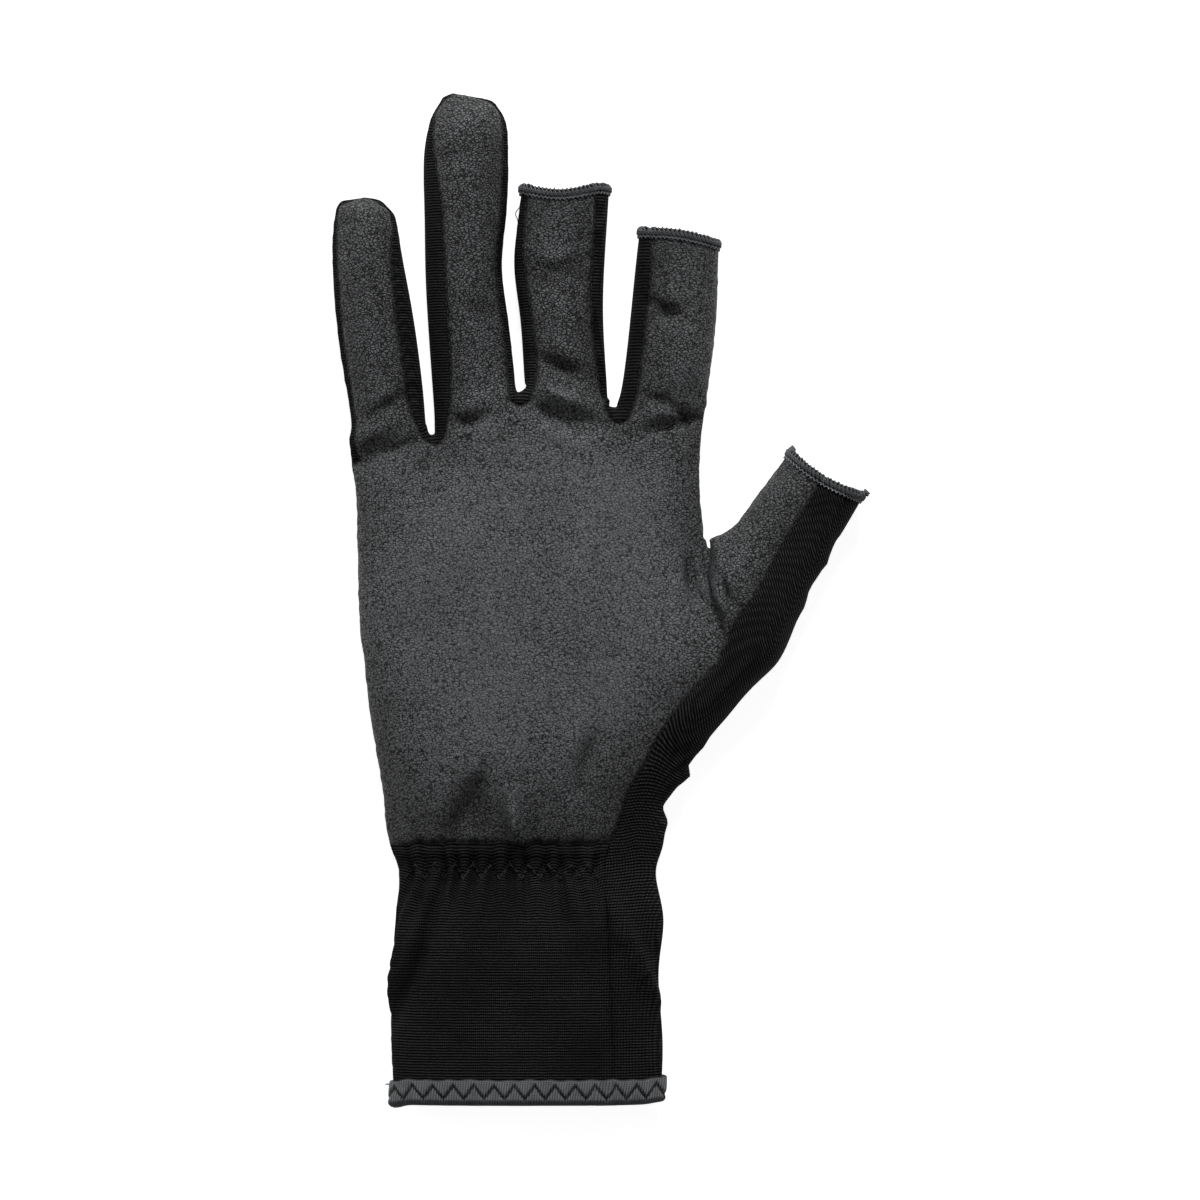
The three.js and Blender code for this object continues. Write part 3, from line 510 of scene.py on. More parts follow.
def grow(bm, ring, places, panels=None):
    """Extrudes a closed ring to new places and gives each strip its panel. Returns the new ring."""
    edges = [bm.edges.get(pair) for pair in pairs_round(ring)]
    made = bmesh.ops.extrude_edge_only(bm, edges=edges)["geom"]
    fresh = {part for part in made if isinstance(part, bmesh.types.BMVert)}
    grown = [
        next(e.other_vert(v) for e in v.link_edges if e.other_vert(v) in fresh) for v in ring
    ]
    for vert, where in zip(grown, places):
        vert.co = where
    for (a, b), (d, c), panel in zip(pairs_round(ring), pairs_round(grown), panels or []):
        bm.faces.get((a, b, c, d)).material_index = panel
    return grown


def bridge_web(bm, front, back, places, front_panel, back_panel):
    """Joins the front of the valley between two fingers to its back, over two raised points."""
    edge = bm.edges.get(front)
    made = bmesh.ops.extrude_edge_only(bm, edges=[edge])["geom"]
    fresh = {part for part in made if isinstance(part, bmesh.types.BMVert)}
    raised = [
        next(e.other_vert(v) for e in v.link_edges if e.other_vert(v) in fresh) for v in front
    ]
    for vert, where in zip(raised, places):
        vert.co = where
    bm.faces.get((front[0], front[1], raised[1], raised[0])).material_index = front_panel
    over = [bm.edges.get(raised), bm.edges.get(back)]
    for face in bmesh.ops.contextual_create(bm, geom=over)["faces"]:
        face.material_index = back_panel
    return raised


def close_tip(bm, ring, tip, panels):
    """Closes a finger with four faces that meet at its tip."""
    edges = [bm.edges.get(pair) for pair in pairs_round(ring)]
    end = bmesh.ops.contextual_create(bm, geom=edges)["faces"]
    centre = bmesh.ops.poke(bm, faces=end)["verts"][0]
    centre.co = tip
    spokes = [bm.edges.get((centre, ring[k])) for k in (0, 2, 4, 6)]
    bmesh.ops.dissolve_edges(bm, edges=spokes)
    for face in centre.link_faces:
        corner = next(k for k in (0, 2, 4, 6) if all(
            ring[n] in face.verts for n in (k - 1, (k + 1) % 8)
        ))
        face.material_index = panels[0 if corner == 0 else corner - 1]


def build_cage():
    """The glove's cage, with the thumb's opening left in its side until the thumb grows from it."""
    bm = bmesh.new()
    ring = bmesh.ops.create_circle(bm, segments=2 * COLUMNS + 2, radius=CUFF_WIDTH)["verts"]
    for vert, where in zip(ring, cuff_ring(CUFF_ROWS[0])):
        vert.co = where
    cuff_panels = [CUFF] * COLUMNS + [BACK] * (COLUMNS + 2)
    for row in CUFF_ROWS[1:]:
        ring = grow(bm, ring, cuff_ring(row), cuff_panels)

    palm_rings = []
    leather_end = COLUMNS
    for row in PALM_ROWS:
        panels = [PALM] * leather_end + [BACK] * (2 * COLUMNS + 2 - leather_end)
        ring = grow(bm, ring, palm_ring(row), panels)
        palm_rings.append(ring)
        if palm_rings[1:] and PALM_ROWS[len(palm_rings) - 2].thumb and not row.thumb:
            leather_end = COLUMNS + 1
    panels = [PALM] * leather_end + [BACK] * (2 * COLUMNS + 2 - leather_end)
    knuckle = grow(bm, ring, knuckle_ring(), panels)

    right = COLUMNS + 1
    thumb_rows = [i for i, row in enumerate(PALM_ROWS) if row.thumb]
    hole = [palm_rings[i][right] for i in thumb_rows]
    bmesh.ops.delete(bm, geom=hole, context="VERTS")

    def front(j):
        return knuckle[1 + j]

    def back(j):
        return knuckle[2 * COLUMNS + 1 - j]

    webs = []
    web_height = heights(0, KNUCKLE_THICK * PALM_THICKNESS)[0]
    for i, finger in enumerate(FINGERS[:-1]):
        last = 3 * i + 2
        left_foot = ROOTS[i][1] + (finger.lean + WEB_PINCH) * WEB_WIDTH
        right_foot = ROOTS[i + 1][0] + (finger.lean - WEB_PINCH) * WEB_WIDTH
        places = [(x, finger.web * PALM_LENGTH, web_height) for x in (left_foot, right_foot)]
        webs.append(bridge_web(
            bm, (front(last), front(last + 1)), (back(last), back(last + 1)), places,
            finger.panels[3], finger.panels[4],
        ))

    for i, (finger, root) in enumerate(zip(FINGERS, ROOTS)):
        three = range(3 * i, 3 * i + 3)
        ring = [
            knuckle[0] if i == 0 else webs[i - 1][1],
            *(front(j) for j in three),
            knuckle[right] if i == len(FINGERS) - 1 else webs[i][0],
            *(back(j) for j in reversed(three)),
        ]
        for row in finger.rows:
            is_opening = finger.tip is None and row is finger.rows[-1]
            ring = grow(bm, ring, finger_ring(finger, root, row, is_opening), finger.panels)
        if finger.tip:
            up, across, height = finger.tip
            tip = (
                sum(root) / 2 + across * finger.width,
                PALM_LENGTH + up * finger.length,
                height * finger.thickness,
            )
            close_tip(bm, ring, tip, finger.panels)

    around = palm_rings[thumb_rows[0] - 1 : thumb_rows[-1] + 2]
    crotch = around[-1][right].co.copy()
    ring = [
        around[-1][right],
        *(r[right - 1] for r in reversed(around)),
        around[0][right],
        *(r[right + 1] for r in around),
    ]
    for row in THUMB_ROWS:
        places = thumb_ring(row, crotch, row is THUMB_ROWS[-1])
        ring = grow(bm, ring, places, [PALM] * 2 + [BACK] * 8)

    bmesh.ops.recalc_face_normals(bm, faces=bm.faces)
    mesh = bpy.data.meshes.new("cage")
    bm.to_mesh(mesh)
    bm.free()
    return mesh


def floats(collection, field, width):
    """One field of a mesh's parts as an array."""
    values = np.empty(len(collection) * width, np.float32)
    collection.foreach_get(field, values)
    return values.astype(float).reshape(-1, width) if width > 1 else values


def whole_numbers(collection, field, width=1):
    values = np.empty(len(collection) * width, np.int32)
    collection.foreach_get(field, values)
    return values.reshape(-1, width) if width > 1 else values


def evaluated(body):
    bpy.context.view_layer.update()
    return body.evaluated_get(bpy.context.evaluated_depsgraph_get())


FIT_ROUNDS = 8
FINE_LEVEL = 4
BACK_LEVEL = 3


def smooth_cage(cage):
    """The cage as an object, moved until its smooth surface passes through the tables' places."""
    body = bpy.data.objects.new("cage", cage)
    bpy.context.scene.collection.objects.link(body)
    smoothing = body.modifiers.new("smooth", "SUBSURF")
    smoothing.levels = smoothing.render_levels = 1
    wanted = floats(cage.vertices, "co", 3)
    for _ in range(FIT_ROUNDS):
        reached = floats(evaluated(body).data.vertices, "co", 3)[: len(wanted)]
        moved = floats(cage.vertices, "co", 3) + wanted - reached
        cage.vertices.foreach_set("co", moved.ravel())
        cage.update()
    return body


def refined(body, level):
    """The smooth surface of the cage as a mesh of its own."""
    smoothing = body.modifiers["smooth"]
    smoothing.levels = smoothing.render_levels = level
    return bpy.data.meshes.new_from_object(evaluated(body))


def edge_panels(mesh):
    """For each edge: how many faces it has, and the lowest and highest panel among them."""
    panels = whole_numbers(mesh.polygons, "material_index")
    sides = whole_numbers(mesh.polygons, "loop_total")
    edges = whole_numbers(mesh.loops, "edge_index")
    of_loop = np.repeat(panels, sides)
    faces = np.bincount(edges, minlength=len(mesh.edges))
    lowest = np.full(len(mesh.edges), 99)
    highest = np.full(len(mesh.edges), -1)
    np.minimum.at(lowest, edges, of_loop)
    np.maximum.at(highest, edges, of_loop)
    return faces, lowest, highest


def fold_depth(x, y):
    """How far the broad folds, each with a raised side, and the creases push the front in."""
    broad, fine = np.zeros_like(x), np.zeros_like(x)
    for fold in FOLDS:
        turn = math.radians(fold.turn)
        along = (x - fold.x) * math.cos(turn) + (y - fold.y) * math.sin(turn)
        aside = (y - fold.y) * math.cos(turn) - (x - fold.x) * math.sin(turn)
        run = along / (fold.long / 2)
        dip = np.exp(-((aside / (0.7 * fold.wide)) ** 2))
        side = np.exp(-((aside / fold.wide - 1.5) ** 2))
        broad += fold.deep * (dip - 0.5 * side) * np.exp(-(run**2) * 0.9)
    for crease in CREASES:
        fine += crease_depth(crease, x, y)
    return broad, fine


def arc_through(start, middle, end, steps):
    """Points of a curve through three places."""
    start, middle, end = (np.array(place) for place in (start, middle, end))
    share = np.linspace(0, 1, steps)[:, None]
    pull = 2 * middle - (start + end) / 2
    return (1 - share) ** 2 * start + 2 * share * (1 - share) * pull + share**2 * end


def crease_depth(crease, x, y):
    """One crease: deepest along its line, and fading out at both ends."""
    line = arc_through(crease.start, crease.middle, crease.end, 25)
    reach = 3 * crease.wide
    low, high = line.min(0) - reach, line.max(0) + reach
    near = np.nonzero((x > low[0]) & (x < high[0]) & (y > low[1]) & (y < high[1]))[0]
    depth = np.zeros_like(x)
    if len(near):
        apart = np.hypot(x[near, None] - line[None, :, 0], y[near, None] - line[None, :, 1])
        nearest = apart.argmin(1)
        fade = np.sin(np.pi * np.linspace(0.04, 0.96, len(line))) ** 0.7
        depth[near] = crease.deep * fade[nearest] * np.exp(-((apart.min(1) / crease.wide) ** 2))
    return depth


def wobble(points, size, seed=0.0):
    """Smooth noise between -1 and 1 at each point, of about the given size."""
    shift = Vector((seed, 2.3 * seed, 5.1 * seed))
    return np.array([noise.noise(Vector(p) / size + shift) for p in points])


def seam_lines(mesh, points):
    """A search tree of the points along the seams, with each point's two panels."""
    faces, lowest, highest = edge_panels(mesh)
    ends = whole_numbers(mesh.edges, "vertices", 2)
    seams = np.nonzero((faces == 2) & (lowest != highest))[0]
    tree = kdtree.KDTree(2 * len(seams))
    kinds = []
    for seam in seams:
        a, b = points[ends[seam]]
        for place in (a, (a + b) / 2):
            tree.insert(place, len(kinds))
            kinds.append((int(lowest[seam]), int(highest[seam])))
    tree.balance()
    return tree, kinds


def zigzag(run, pitch):
    """Height of a zigzag along its run, from 0 to 1."""
    share = (run / pitch) % 1.0
    return 1 - np.abs(2 * share - 1)


def gather_depth(x, y):
    """How far the wrist's elastic draws the cuff's front in: folds side by side that lean outwards."""
    down = -y / CUFF_LENGTH
    rows = sorted(CUFF_ROWS, key=lambda row: row.down)
    downs = [row.down for row in rows]
    left = np.interp(down, downs, [row.left for row in rows]) * CUFF_WIDTH
    seam = np.interp(down, downs, [row.seam for row in rows]) * CUFF_WIDTH
    across = (x - left) / (seam - left)
    rising = smooth((down + 0.03) / (GATHER_PEAK + 0.03))
    falling = smooth((GATHER_END - down) / (GATHER_END - GATHER_PEAK))
    fade = np.where(down < GATHER_PEAK, rising, falling)
    places = np.column_stack([x, y * 0.3, np.zeros_like(x)])
    lean = (across - 0.5) * (down - GATHER_PEAK) * 0.5
    phase = GATHER_COUNT * (across - lean) + 0.35 * wobble(places, 7.0, 3.0)
    wave = (0.5 - 0.5 * np.cos(2 * np.pi * phase)) ** 1.5
    share = 0.75 + 0.55 * wobble(places, 9.0, 8.0)
    inside = smooth(across / 0.04) * smooth((1 - across) / 0.04)
    stitches = lerp(ELASTIC_LOW, ELASTIC_HIGH, zigzag(x - ELASTIC_START, ELASTIC_PITCH))
    band = smooth(2 * (1.6 - np.abs(y - (ELASTIC_LOW + ELASTIC_HIGH) / 2) / 2.6))
    dent = ELASTIC_DENT * (np.exp(-(((y - stitches) / ELASTIC_REACH) ** 2)) + 0.8 * band)
    return (GATHER_DEPTH * fade * wave * share + dent) * inside


Cloth = namedtuple("Cloth", "mesh smooth_points")

# Painted shade kept with the cloth, with painted highlight on ridges: what folds and seams add at a place
PAINTED_SHADE_ATTRIBUTE = "painted_shade"
BROAD_SHADE = 0.24
FINE_SHADE = 0.9
SEAM_SHADE = 3.6
EDGE_SHADE = 1.0
EDGE_REACH = 9.0

# Unevenness of the cloth: along the seams, and over its front as depth, size and seed of the noise
PUCKER_DEPTH = 0.28
PUCKER_REACH = 2.6
DENTS = ((0.35, 16.0, 2.0), (0.16, 5.0, 4.0))


def dress(mesh):
    """Folds, gathers, puckers and seams on the skin. Keeps its smooth points for the cloth's grain."""
    points = floats(mesh.vertices, "co", 3)
    normals = floats(mesh.vertices, "normal", 3)
    tree, kinds = seam_lines(mesh, points)
    found = [tree.find(point) for point in points]
    apart = np.array([hit[2] for hit in found])
    groove = np.array([SEAMS[kinds[hit[1]]] for hit in found])
    x, y = points[:, 0], points[:, 1]

    facing = smooth(normals[:, 2] * 2)
    broad, fine = fold_depth(x, y)
    depth = FOLD_STRENGTH * (broad + fine) * facing
    in_cuff = smooth((2.0 - y) / 2.0) * facing
    gathers = gather_depth(x, y) * in_cuff
    sink = groove[:, 0] * (0.8 + 0.5 * wobble(points, 2.2, 1.0))
    depth += gathers
    # Painted shade for the finishes: darker in folds, gathers and creases, painted highlight on ridges
    painted_shade = (BROAD_SHADE * broad + FINE_SHADE * fine) * facing + gathers
    # Painted shade along each seam, and over a broad band beside it that darkens the panels towards their
    # edges
    painted_shade += SEAM_SHADE * groove[:, 0] * np.exp(-((apart / (0.5 * groove[:, 1])) ** 2))
    painted_shade += EDGE_SHADE * np.exp(-((apart / EDGE_REACH) ** 2))
    depth += sink * np.exp(-((apart / groove[:, 1]) ** 2))
    pucker = PUCKER_DEPTH * wobble(points, 1.9, 5.0) * np.exp(-((apart / PUCKER_REACH) ** 2))
    depth += pucker * np.minimum(1.0, apart / 0.8)
    dents = sum(depth_of * wobble(points, size, seed) for depth_of, size, seed in DENTS) * facing
    depth += dents
    # Painted shade in the dents and puckers, painted highlight where they rise
    painted_shade += dents + pucker

    moved = points - normals * depth[:, None]
    for nudge in NUDGES:
        near = np.exp(-(((x - nudge.x) ** 2 + (y - nudge.y) ** 2) / nudge.reach**2))
        moved[:, 0] += nudge.across * near
        moved[:, 1] += nudge.up * near
    level = np.column_stack([x, 0 * x, 0 * x])
    moved[:, 1] += WRIST_WAVE * wobble(level, 3.4, 6.0) * np.exp(-((y / 3.0) ** 2)) * facing
    rest = CUFF_LIFT * smooth(-y / CUFF_LENGTH / CUFF_EASE)
    moved[:, 2] = np.maximum(moved[:, 2], rest)
    mesh.vertices.foreach_set("co", moved.ravel())
    kept = mesh.attributes.new(PAINTED_SHADE_ATTRIBUTE, "FLOAT", "POINT")
    kept.data.foreach_set("value", painted_shade.astype(np.float32))
    mesh.update()
    grain = points.copy()
    grain[:, 1] += 0.5 * gathers
    return Cloth(mesh, grain)


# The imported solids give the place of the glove's own frame: its binding stands on the hem
BINDING_FOOT = BINDING_WALL + BINDING_CLEARANCE


def wrist_place():
    low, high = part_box("cuff_binding")
    hem = CUFF_ROWS[0]
    hem_middle = (hem.left + hem.right) / 2 * CUFF_WIDTH
    across = (low.x + high.x) / 2 / MM - hem_middle
    up = low.y / MM + CUFF_LENGTH + BINDING_FOOT
    return Vector((across, up, 0.0))


WRIST = wrist_place()


def place(mesh):
    """Moves a mesh from the glove's own frame, in millimetres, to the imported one, in metres."""
    points = floats(mesh.vertices, "co", 3)
    mesh.vertices.foreach_set("co", ((points + np.array(WRIST)) * MM).ravel())
    mesh.update()


def show(name, mesh, materials, replaced=None):
    """Puts a finished piece in the scene, riding on the glove."""
    place(mesh)
    mesh.materials.clear()
    for material in materials:
        mesh.materials.append(material)
    mesh.shade_smooth()
    body = bpy.data.objects.new(name, mesh)
    bpy.context.scene.collection.objects.link(body)
    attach(body, "root")
    if replaced:
        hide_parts(replaced)
    return body


class Wire:
    """A socket of a material's nodes that can stand in a sum like a number."""

    def __init__(self, tree, socket=None):
        self.tree = tree
        self.socket = socket

    def node(self, kind, settings=None, sockets=None, out=0):
        """Adds a node, sets it, feeds its sockets and gives back one of its outputs."""
        made = self.tree.nodes.new("ShaderNode" + kind)
        for name, value in (settings or {}).items():
            setattr(made, name, value)
        for key, value in (sockets or {}).items():
            if isinstance(value, Wire):
                self.tree.links.new(value.socket, made.inputs[key])
            else:
                made.inputs[key].default_value = value
        return Wire(self.tree, made.outputs[out])

    def maths(self, operation, *values):
        return self.node("Math", {"operation": operation}, dict(enumerate(values)))

    def __add__(self, other):
        return self.maths("ADD", self, other)

    def __sub__(self, other):
        return self.maths("SUBTRACT", self, other)

    def __rsub__(self, other):
        return self.maths("SUBTRACT", other, self)

    def __mul__(self, other):
        return self.maths("MULTIPLY", self, other)

    def __truediv__(self, other):
        return self.maths("DIVIDE", self, other)

    def __pow__(self, other):
        return self.maths("POWER", self, other)

    __radd__ = __add__
    __rmul__ = __mul__


def scaled(vector, scale):
    return vector.node("VectorMath", {"operation": "SCALE"}, {0: vector, "Scale": scale})


def shifted(vector, other):
    return vector.node("VectorMath", {"operation": "ADD"}, {0: vector, 1: other})


def ramp(value, low, high):
    """0 below low, 1 above high, and smooth between."""
    sockets = {0: value, 1: low, 2: high, 3: 0.0, 4: 1.0}
    return value.node("MapRange", {"interpolation_type": "SMOOTHSTEP"}, sockets)


def blend(share, first, second):
    return share.node("Mix", {"data_type": "RGBA"}, {0: share, 6: first, 7: second}, out=2)


def cloudy(vector, scale, detail=2.0, out=0):
    sockets = {"Vector": vector, "Scale": scale, "Detail": detail, "Roughness": 0.55}
    return vector.node("TexNoise", {}, sockets, out=out)


def cell_edges(vector, scale):
    """Distance from the nearest border between the cells of a random pattern."""
    sockets = {"Vector": vector, "Scale": scale}
    return vector.node("TexVoronoi", {"feature": "DISTANCE_TO_EDGE"}, sockets)


def wave(value, pitch):
    """From 0 to 1 and back once every pitch."""
    return value.maths("SINE", value * (2 * math.pi / pitch)) * 0.5 + 0.5


def object_millimetres(start):
    return scaled(start.node("TexCoord", out="Object"), 1 / MM)


def cloth_millimetres(start):
    """Across and along the cloth, from the piece's own map."""
    flat = start.node("UVMap", {"uv_map": "cloth"})
    across = flat.node("SeparateXYZ", {}, {0: flat})
    return across, Wire(start.tree, across.socket.node.outputs[1])


def painted_shade_of(start):
    """Painted shade kept with the cloth: 0 on the flat, 1 in a deep fold or seam, painted highlight below
    0.
    """
    drawn = start.node("Attribute", {"attribute_name": PAINTED_SHADE_ATTRIBUTE}, out=2)
    return drawn.node("MapRange", {}, {0: drawn, 1: -0.9, 2: 2.4, 3: -0.43, 4: 1.0})


def material(name, paint, **fixed):
    """A material from a function that gives its colour, roughness and relief, and what never varies."""
    made = bpy.data.materials.new(name)
    made.use_nodes = True
    tree = made.node_tree
    shader = tree.nodes["Principled BSDF"]
    colour, roughness, relief = paint(Wire(tree))
    tree.links.new(colour.socket, shader.inputs["Base Color"])
    tree.links.new(roughness.socket, shader.inputs["Roughness"])
    bump = relief.node("Bump", {}, {"Strength": 1.0, "Distance": MM, "Height": relief})
    tree.links.new(bump.socket, shader.inputs["Normal"])
    for key, value in fixed.items():
        shader.inputs[key.replace("_", " ")].default_value = value
    return made


def grey(level, tint=(1.0, 1.0, 1.0)):
    return (*(level * share for share in tint), 1.0)


COOL = (0.97, 1.0, 1.04)
GREENISH = (0.97, 1.03, 0.99)
PEBBLE = 0.76
PEBBLE_SLANT = math.radians(35)

# Painted light: the leather is lightest over the palm, and darker from one distance to the other
PAINTED_LIGHT_CENTRE = (-16.0, 4.0, 12.0)
PAINTED_LIGHT_FALLOFF = (28.0, 62.0)


def leather_paint(start):
    """Small pebbles parted by short creases that lean to the right: painted shade in creases, painted
    highlight on tops.
    """
    where = object_millimetres(start)
    warp = scaled(shifted(cloudy(where, 0.8, 2.0, out=1), (-0.5, -0.5, -0.5)), 1.1)
    bent = start.node("Mapping", {}, {
        "Vector": shifted(where, warp), "Rotation": (0.0, 0.0, -PEBBLE_SLANT), "Scale": (0.8, 1.2, 1.0),
    })
    cells = cell_edges(bent, 1 / PEBBLE)
    small = cell_edges(bent, 1.9 / PEBBLE)
    broken = ramp(cloudy(bent, 1.0, 1.0), 0.26, 0.52)
    top = ramp(cells, 0.0, 0.18)
    dome = ramp(cells, 0.05, 0.5)
    top_small = ramp(small, 0.02, 0.3)
    # Painted shade: the grain's creases are darkened in colour.
    crease = (1 - top) * (0.4 + 0.6 * broken)
    mottle = ramp(cloudy(where, 2.2, 1.0), 0.3, 0.7)
    patches = ramp(cloudy(where, 0.045, 2.0), 0.3, 0.7)
    # Painted highlight on the pebbles' domed tops, with random mottle; the same mask makes the tops less
    # rough.
    pebble = 0.5 * dome + 0.2 * top_small + 0.3 * mottle
    # Painted light falling off from over the palm towards the fingers and thumb, darkening the leather's
    # colour.
    away = where.node("VectorMath", {"operation": "DISTANCE"}, {0: where, 1: PAINTED_LIGHT_CENTRE}, out=1)
    ground = 0.6 + 0.13 * pebble + 0.14 * patches - ramp(away, *PAINTED_LIGHT_FALLOFF) * 0.34
    shade = ground - crease * 1.15 - painted_shade_of(start) * 0.8
    colour = blend(ramp(shade, -0.72, 1.0), grey(0.001, COOL), grey(0.175, COOL))
    roughness = 0.58 - pebble * 0.12 + crease * 0.2
    relief = top * 0.18 + dome * 0.07 + top_small * 0.04 + cloudy(where, 0.3) * 0.25
    return colour, roughness, relief


def knit_paint(pitch, darkest, lightest, painted_light_share):
    """Fine courses across the cloth, each a row of small loops, lit in patches by painted light."""

    def paint(start):
        across, along = cloth_millimetres(start)
        where = object_millimetres(start)
        uneven = cloudy(where, 0.4, 2.0)
        course = wave(along + uneven * 0.35, pitch)
        loops = course * (0.6 + 0.4 * wave(across + uneven * 0.4, 0.52))
        fuzz = cloudy(where, 4.0, 2.0)
        # Painted light: broad random patches where the courses are brighter; painted shade from the folds
        # darkens them.
        wear_and_painted_light = ramp(cloudy(where, 0.05, 2.0), 0.35, 0.68)
        painted_light_and_shade = 1.06 - painted_light_share + wear_and_painted_light * painted_light_share - painted_shade_of(start) * 0.35
        lit = loops ** 2 * ramp(fuzz, 0.1, 0.75) * ramp(painted_light_and_shade, -0.5, 1.1)
        colour = blend(lit, grey(darkest), grey(lightest, GREENISH))
        return colour, 0.85 + fuzz * 0.12, loops * 0.11 + fuzz * 0.05

    return paint


def lining_paint(start):
    """The leather's brushed back."""
    where = object_millimetres(start)
    fuzz = cloudy(where, 2.5, 3.0)
    return blend(fuzz, grey(0.01), grey(0.028)), 0.85 + fuzz * 0.1, fuzz * 0.12


def tape_paint(pitch):
    """Woven tape with fine ribs, painted shade in broken slits where the zigzag stitches draw it in and at
    its foot.
    """

    def paint(start):
        across, along = cloth_millimetres(start)
        where = object_millimetres(start)
        fuzz = cloudy(where, 3.0, 2.0)
        rib = wave(across + along * 0.12 + fuzz * 0.2, 0.64)
        weave = rib * (0.55 + 0.45 * wave(along, 0.5))
        # The tape's uneven wear, random in tone.
        wear_and_painted_light = cloudy(where, 0.3, 3.0)
        rise = TAPE_TOP - along
        turned = across.maths("PINGPONG", across, pitch / 2) * (2 / pitch)
        off = across.maths("ABSOLUTE", rise - (ZIGZAG_LOW + turned * (ZIGZAG_HIGH - ZIGZAG_LOW)))
        # Painted shade in broken slits along the zigzag, where the stitches draw the tape in.
        slit_shade = (1 - ramp(off, 0.1, 0.55)) * ramp(cloudy(where, 0.8, 1.0), 0.4, 0.52)
        # Painted highlight where the tape puffs up between the stitches.
        puff = ramp(off, 0.5, 1.3)
        # Painted shade at the tape's foot, where it turns under at the hem.
        foot = 1 - ramp(rise, -0.3, 0.5)
        shade = weave * 0.6 + fuzz * 0.25 + puff * 0.25
        shade = shade * (0.6 + 0.7 * wear_and_painted_light) * (1 - slit_shade * 0.92) * (1 - foot * 0.7)
        colour = blend(shade, grey(0.006, COOL), grey(0.24, COOL))
        return colour, 0.82 + fuzz * 0.12, weave * 0.12 + fuzz * 0.06

    return paint


def thread_paint(dark, light, ply):
    """Twisted thread: its plies show as slanting bands of painted light and shade."""

    def paint(start):
        where = object_millimetres(start)
        turn = where.node("Mapping", {}, {"Vector": where, "Rotation": (0.4, 0.3, 0.7)})
        split = turn.node("SeparateXYZ", {}, {0: turn})
        fuzz = cloudy(where, 2.4, 2.0)
        twist = wave(split + fuzz * 0.3, ply)
        colour = blend(twist * 0.6 + fuzz * 0.4, grey(dark, COOL), grey(light, COOL))
        return colour, 0.7 + fuzz * 0.15, twist * 0.03 + fuzz * 0.03

    return paint


def table_paint(start):
    """Pale paper with a faint tooth."""
    where = object_millimetres(start)
    tooth = cloudy(where, 0.3, 3.0)
    return blend(tooth, grey(0.58), grey(0.6)), 0.6 + tooth * 0.1, tooth * 0.02


LEATHER = material("palm_leather", leather_paint, Specular_IOR_Level=0.4)
LINING = material("leather_lining", lining_paint)
KNIT = material("black_knit", knit_paint(0.7, 0.001, 0.085, 0.5), Specular_IOR_Level=0.06)
RIB = material("ribbed_knit", knit_paint(0.8, 0.001, 0.075, 0.5), Specular_IOR_Level=0.08)
GREY_THREAD = material("grey_thread", thread_paint(0.02, 0.2, 0.33), Specular_IOR_Level=0.2)
LIGHT_THREAD = material("light_thread", thread_paint(0.12, 0.34, 0.3), Specular_IOR_Level=0.3)
SHINY_THREAD = material("shiny_thread", thread_paint(0.003, 0.02, 0.3), Specular_IOR_Level=0.4)
DARK_THREAD = material("dark_thread", thread_paint(0.003, 0.012, 0.35), Specular_IOR_Level=0.1)
BLACK_THREAD = material("black_thread", thread_paint(0.0015, 0.02, 0.3), Specular_IOR_Level=0.5)


def cloth_map(mesh, spots):
    """Writes the piece's own map from a pair of numbers at each vertex."""
    layer = mesh.uv_layers.new(name="cloth")
    at = whole_numbers(mesh.loops, "vertex_index")
    layer.data.foreach_set("uv", spots[at].astype(np.float32).ravel())


# Where the knit beside the palm turns to follow the thumb
TURN_PLACE = np.array([39.0, 20.0])
TURN_ALONG = np.array([0.64, 0.77])
TURN_RUN = 30.0
WRIST_SLOPE = math.radians(-14)
THUMB_SLOPE = math.radians(-74)
THUMB_SPREAD = 0.85


def course_map(points, panel):
    """Places across and along the courses of a knit panel, in millimetres."""
    flat = points[:, :2]
    across = flat[:, 0] + points[:, 2]
    along = flat[:, 1].copy()
    if panel == BACK:
        away = (flat - TURN_PLACE) @ TURN_ALONG
        side = smooth((flat[:, 0] - 18.0) / 14.0)
        thumb = smooth(away / TURN_RUN + 0.5) * side
        slope = WRIST_SLOPE * side * (1 - thumb) * smooth(away / 30 + 1.4) + THUMB_SLOPE * thumb
        rise = -(flat[:, 0] - TURN_PLACE[0]) * np.sin(slope)
        rise += (flat[:, 1] - TURN_PLACE[1]) * np.cos(slope)
        along = TURN_PLACE[1] + rise / lerp(1.0, THUMB_SPREAD, thumb)
    return np.column_stack([across, along])


PIECES = table(
    "panel name node slot level wall",
    (PALM, "palm_leather_panel", "palm_panel", "palm_leather", FINE_LEVEL, LEATHER_WALL),
    (BACK, "back_knit_panel", "back_panel", "black_knit", BACK_LEVEL, KNIT_WALL),
    (CUFF, "cuff_knit_panel", "cuff_panel", "black_knit", FINE_LEVEL, KNIT_WALL),
    (LITTLE_RING, "little_ring_knit", "fourchette_little_ring", "black_knit", FINE_LEVEL, KNIT_WALL),
    (RING_MIDDLE, "ring_middle_knit", "fourchette_ring_middle", "black_knit", FINE_LEVEL, KNIT_WALL),
    (MIDDLE_INDEX, "middle_index_knit", "fourchette_middle_index", "black_knit", FINE_LEVEL, KNIT_WALL),
)


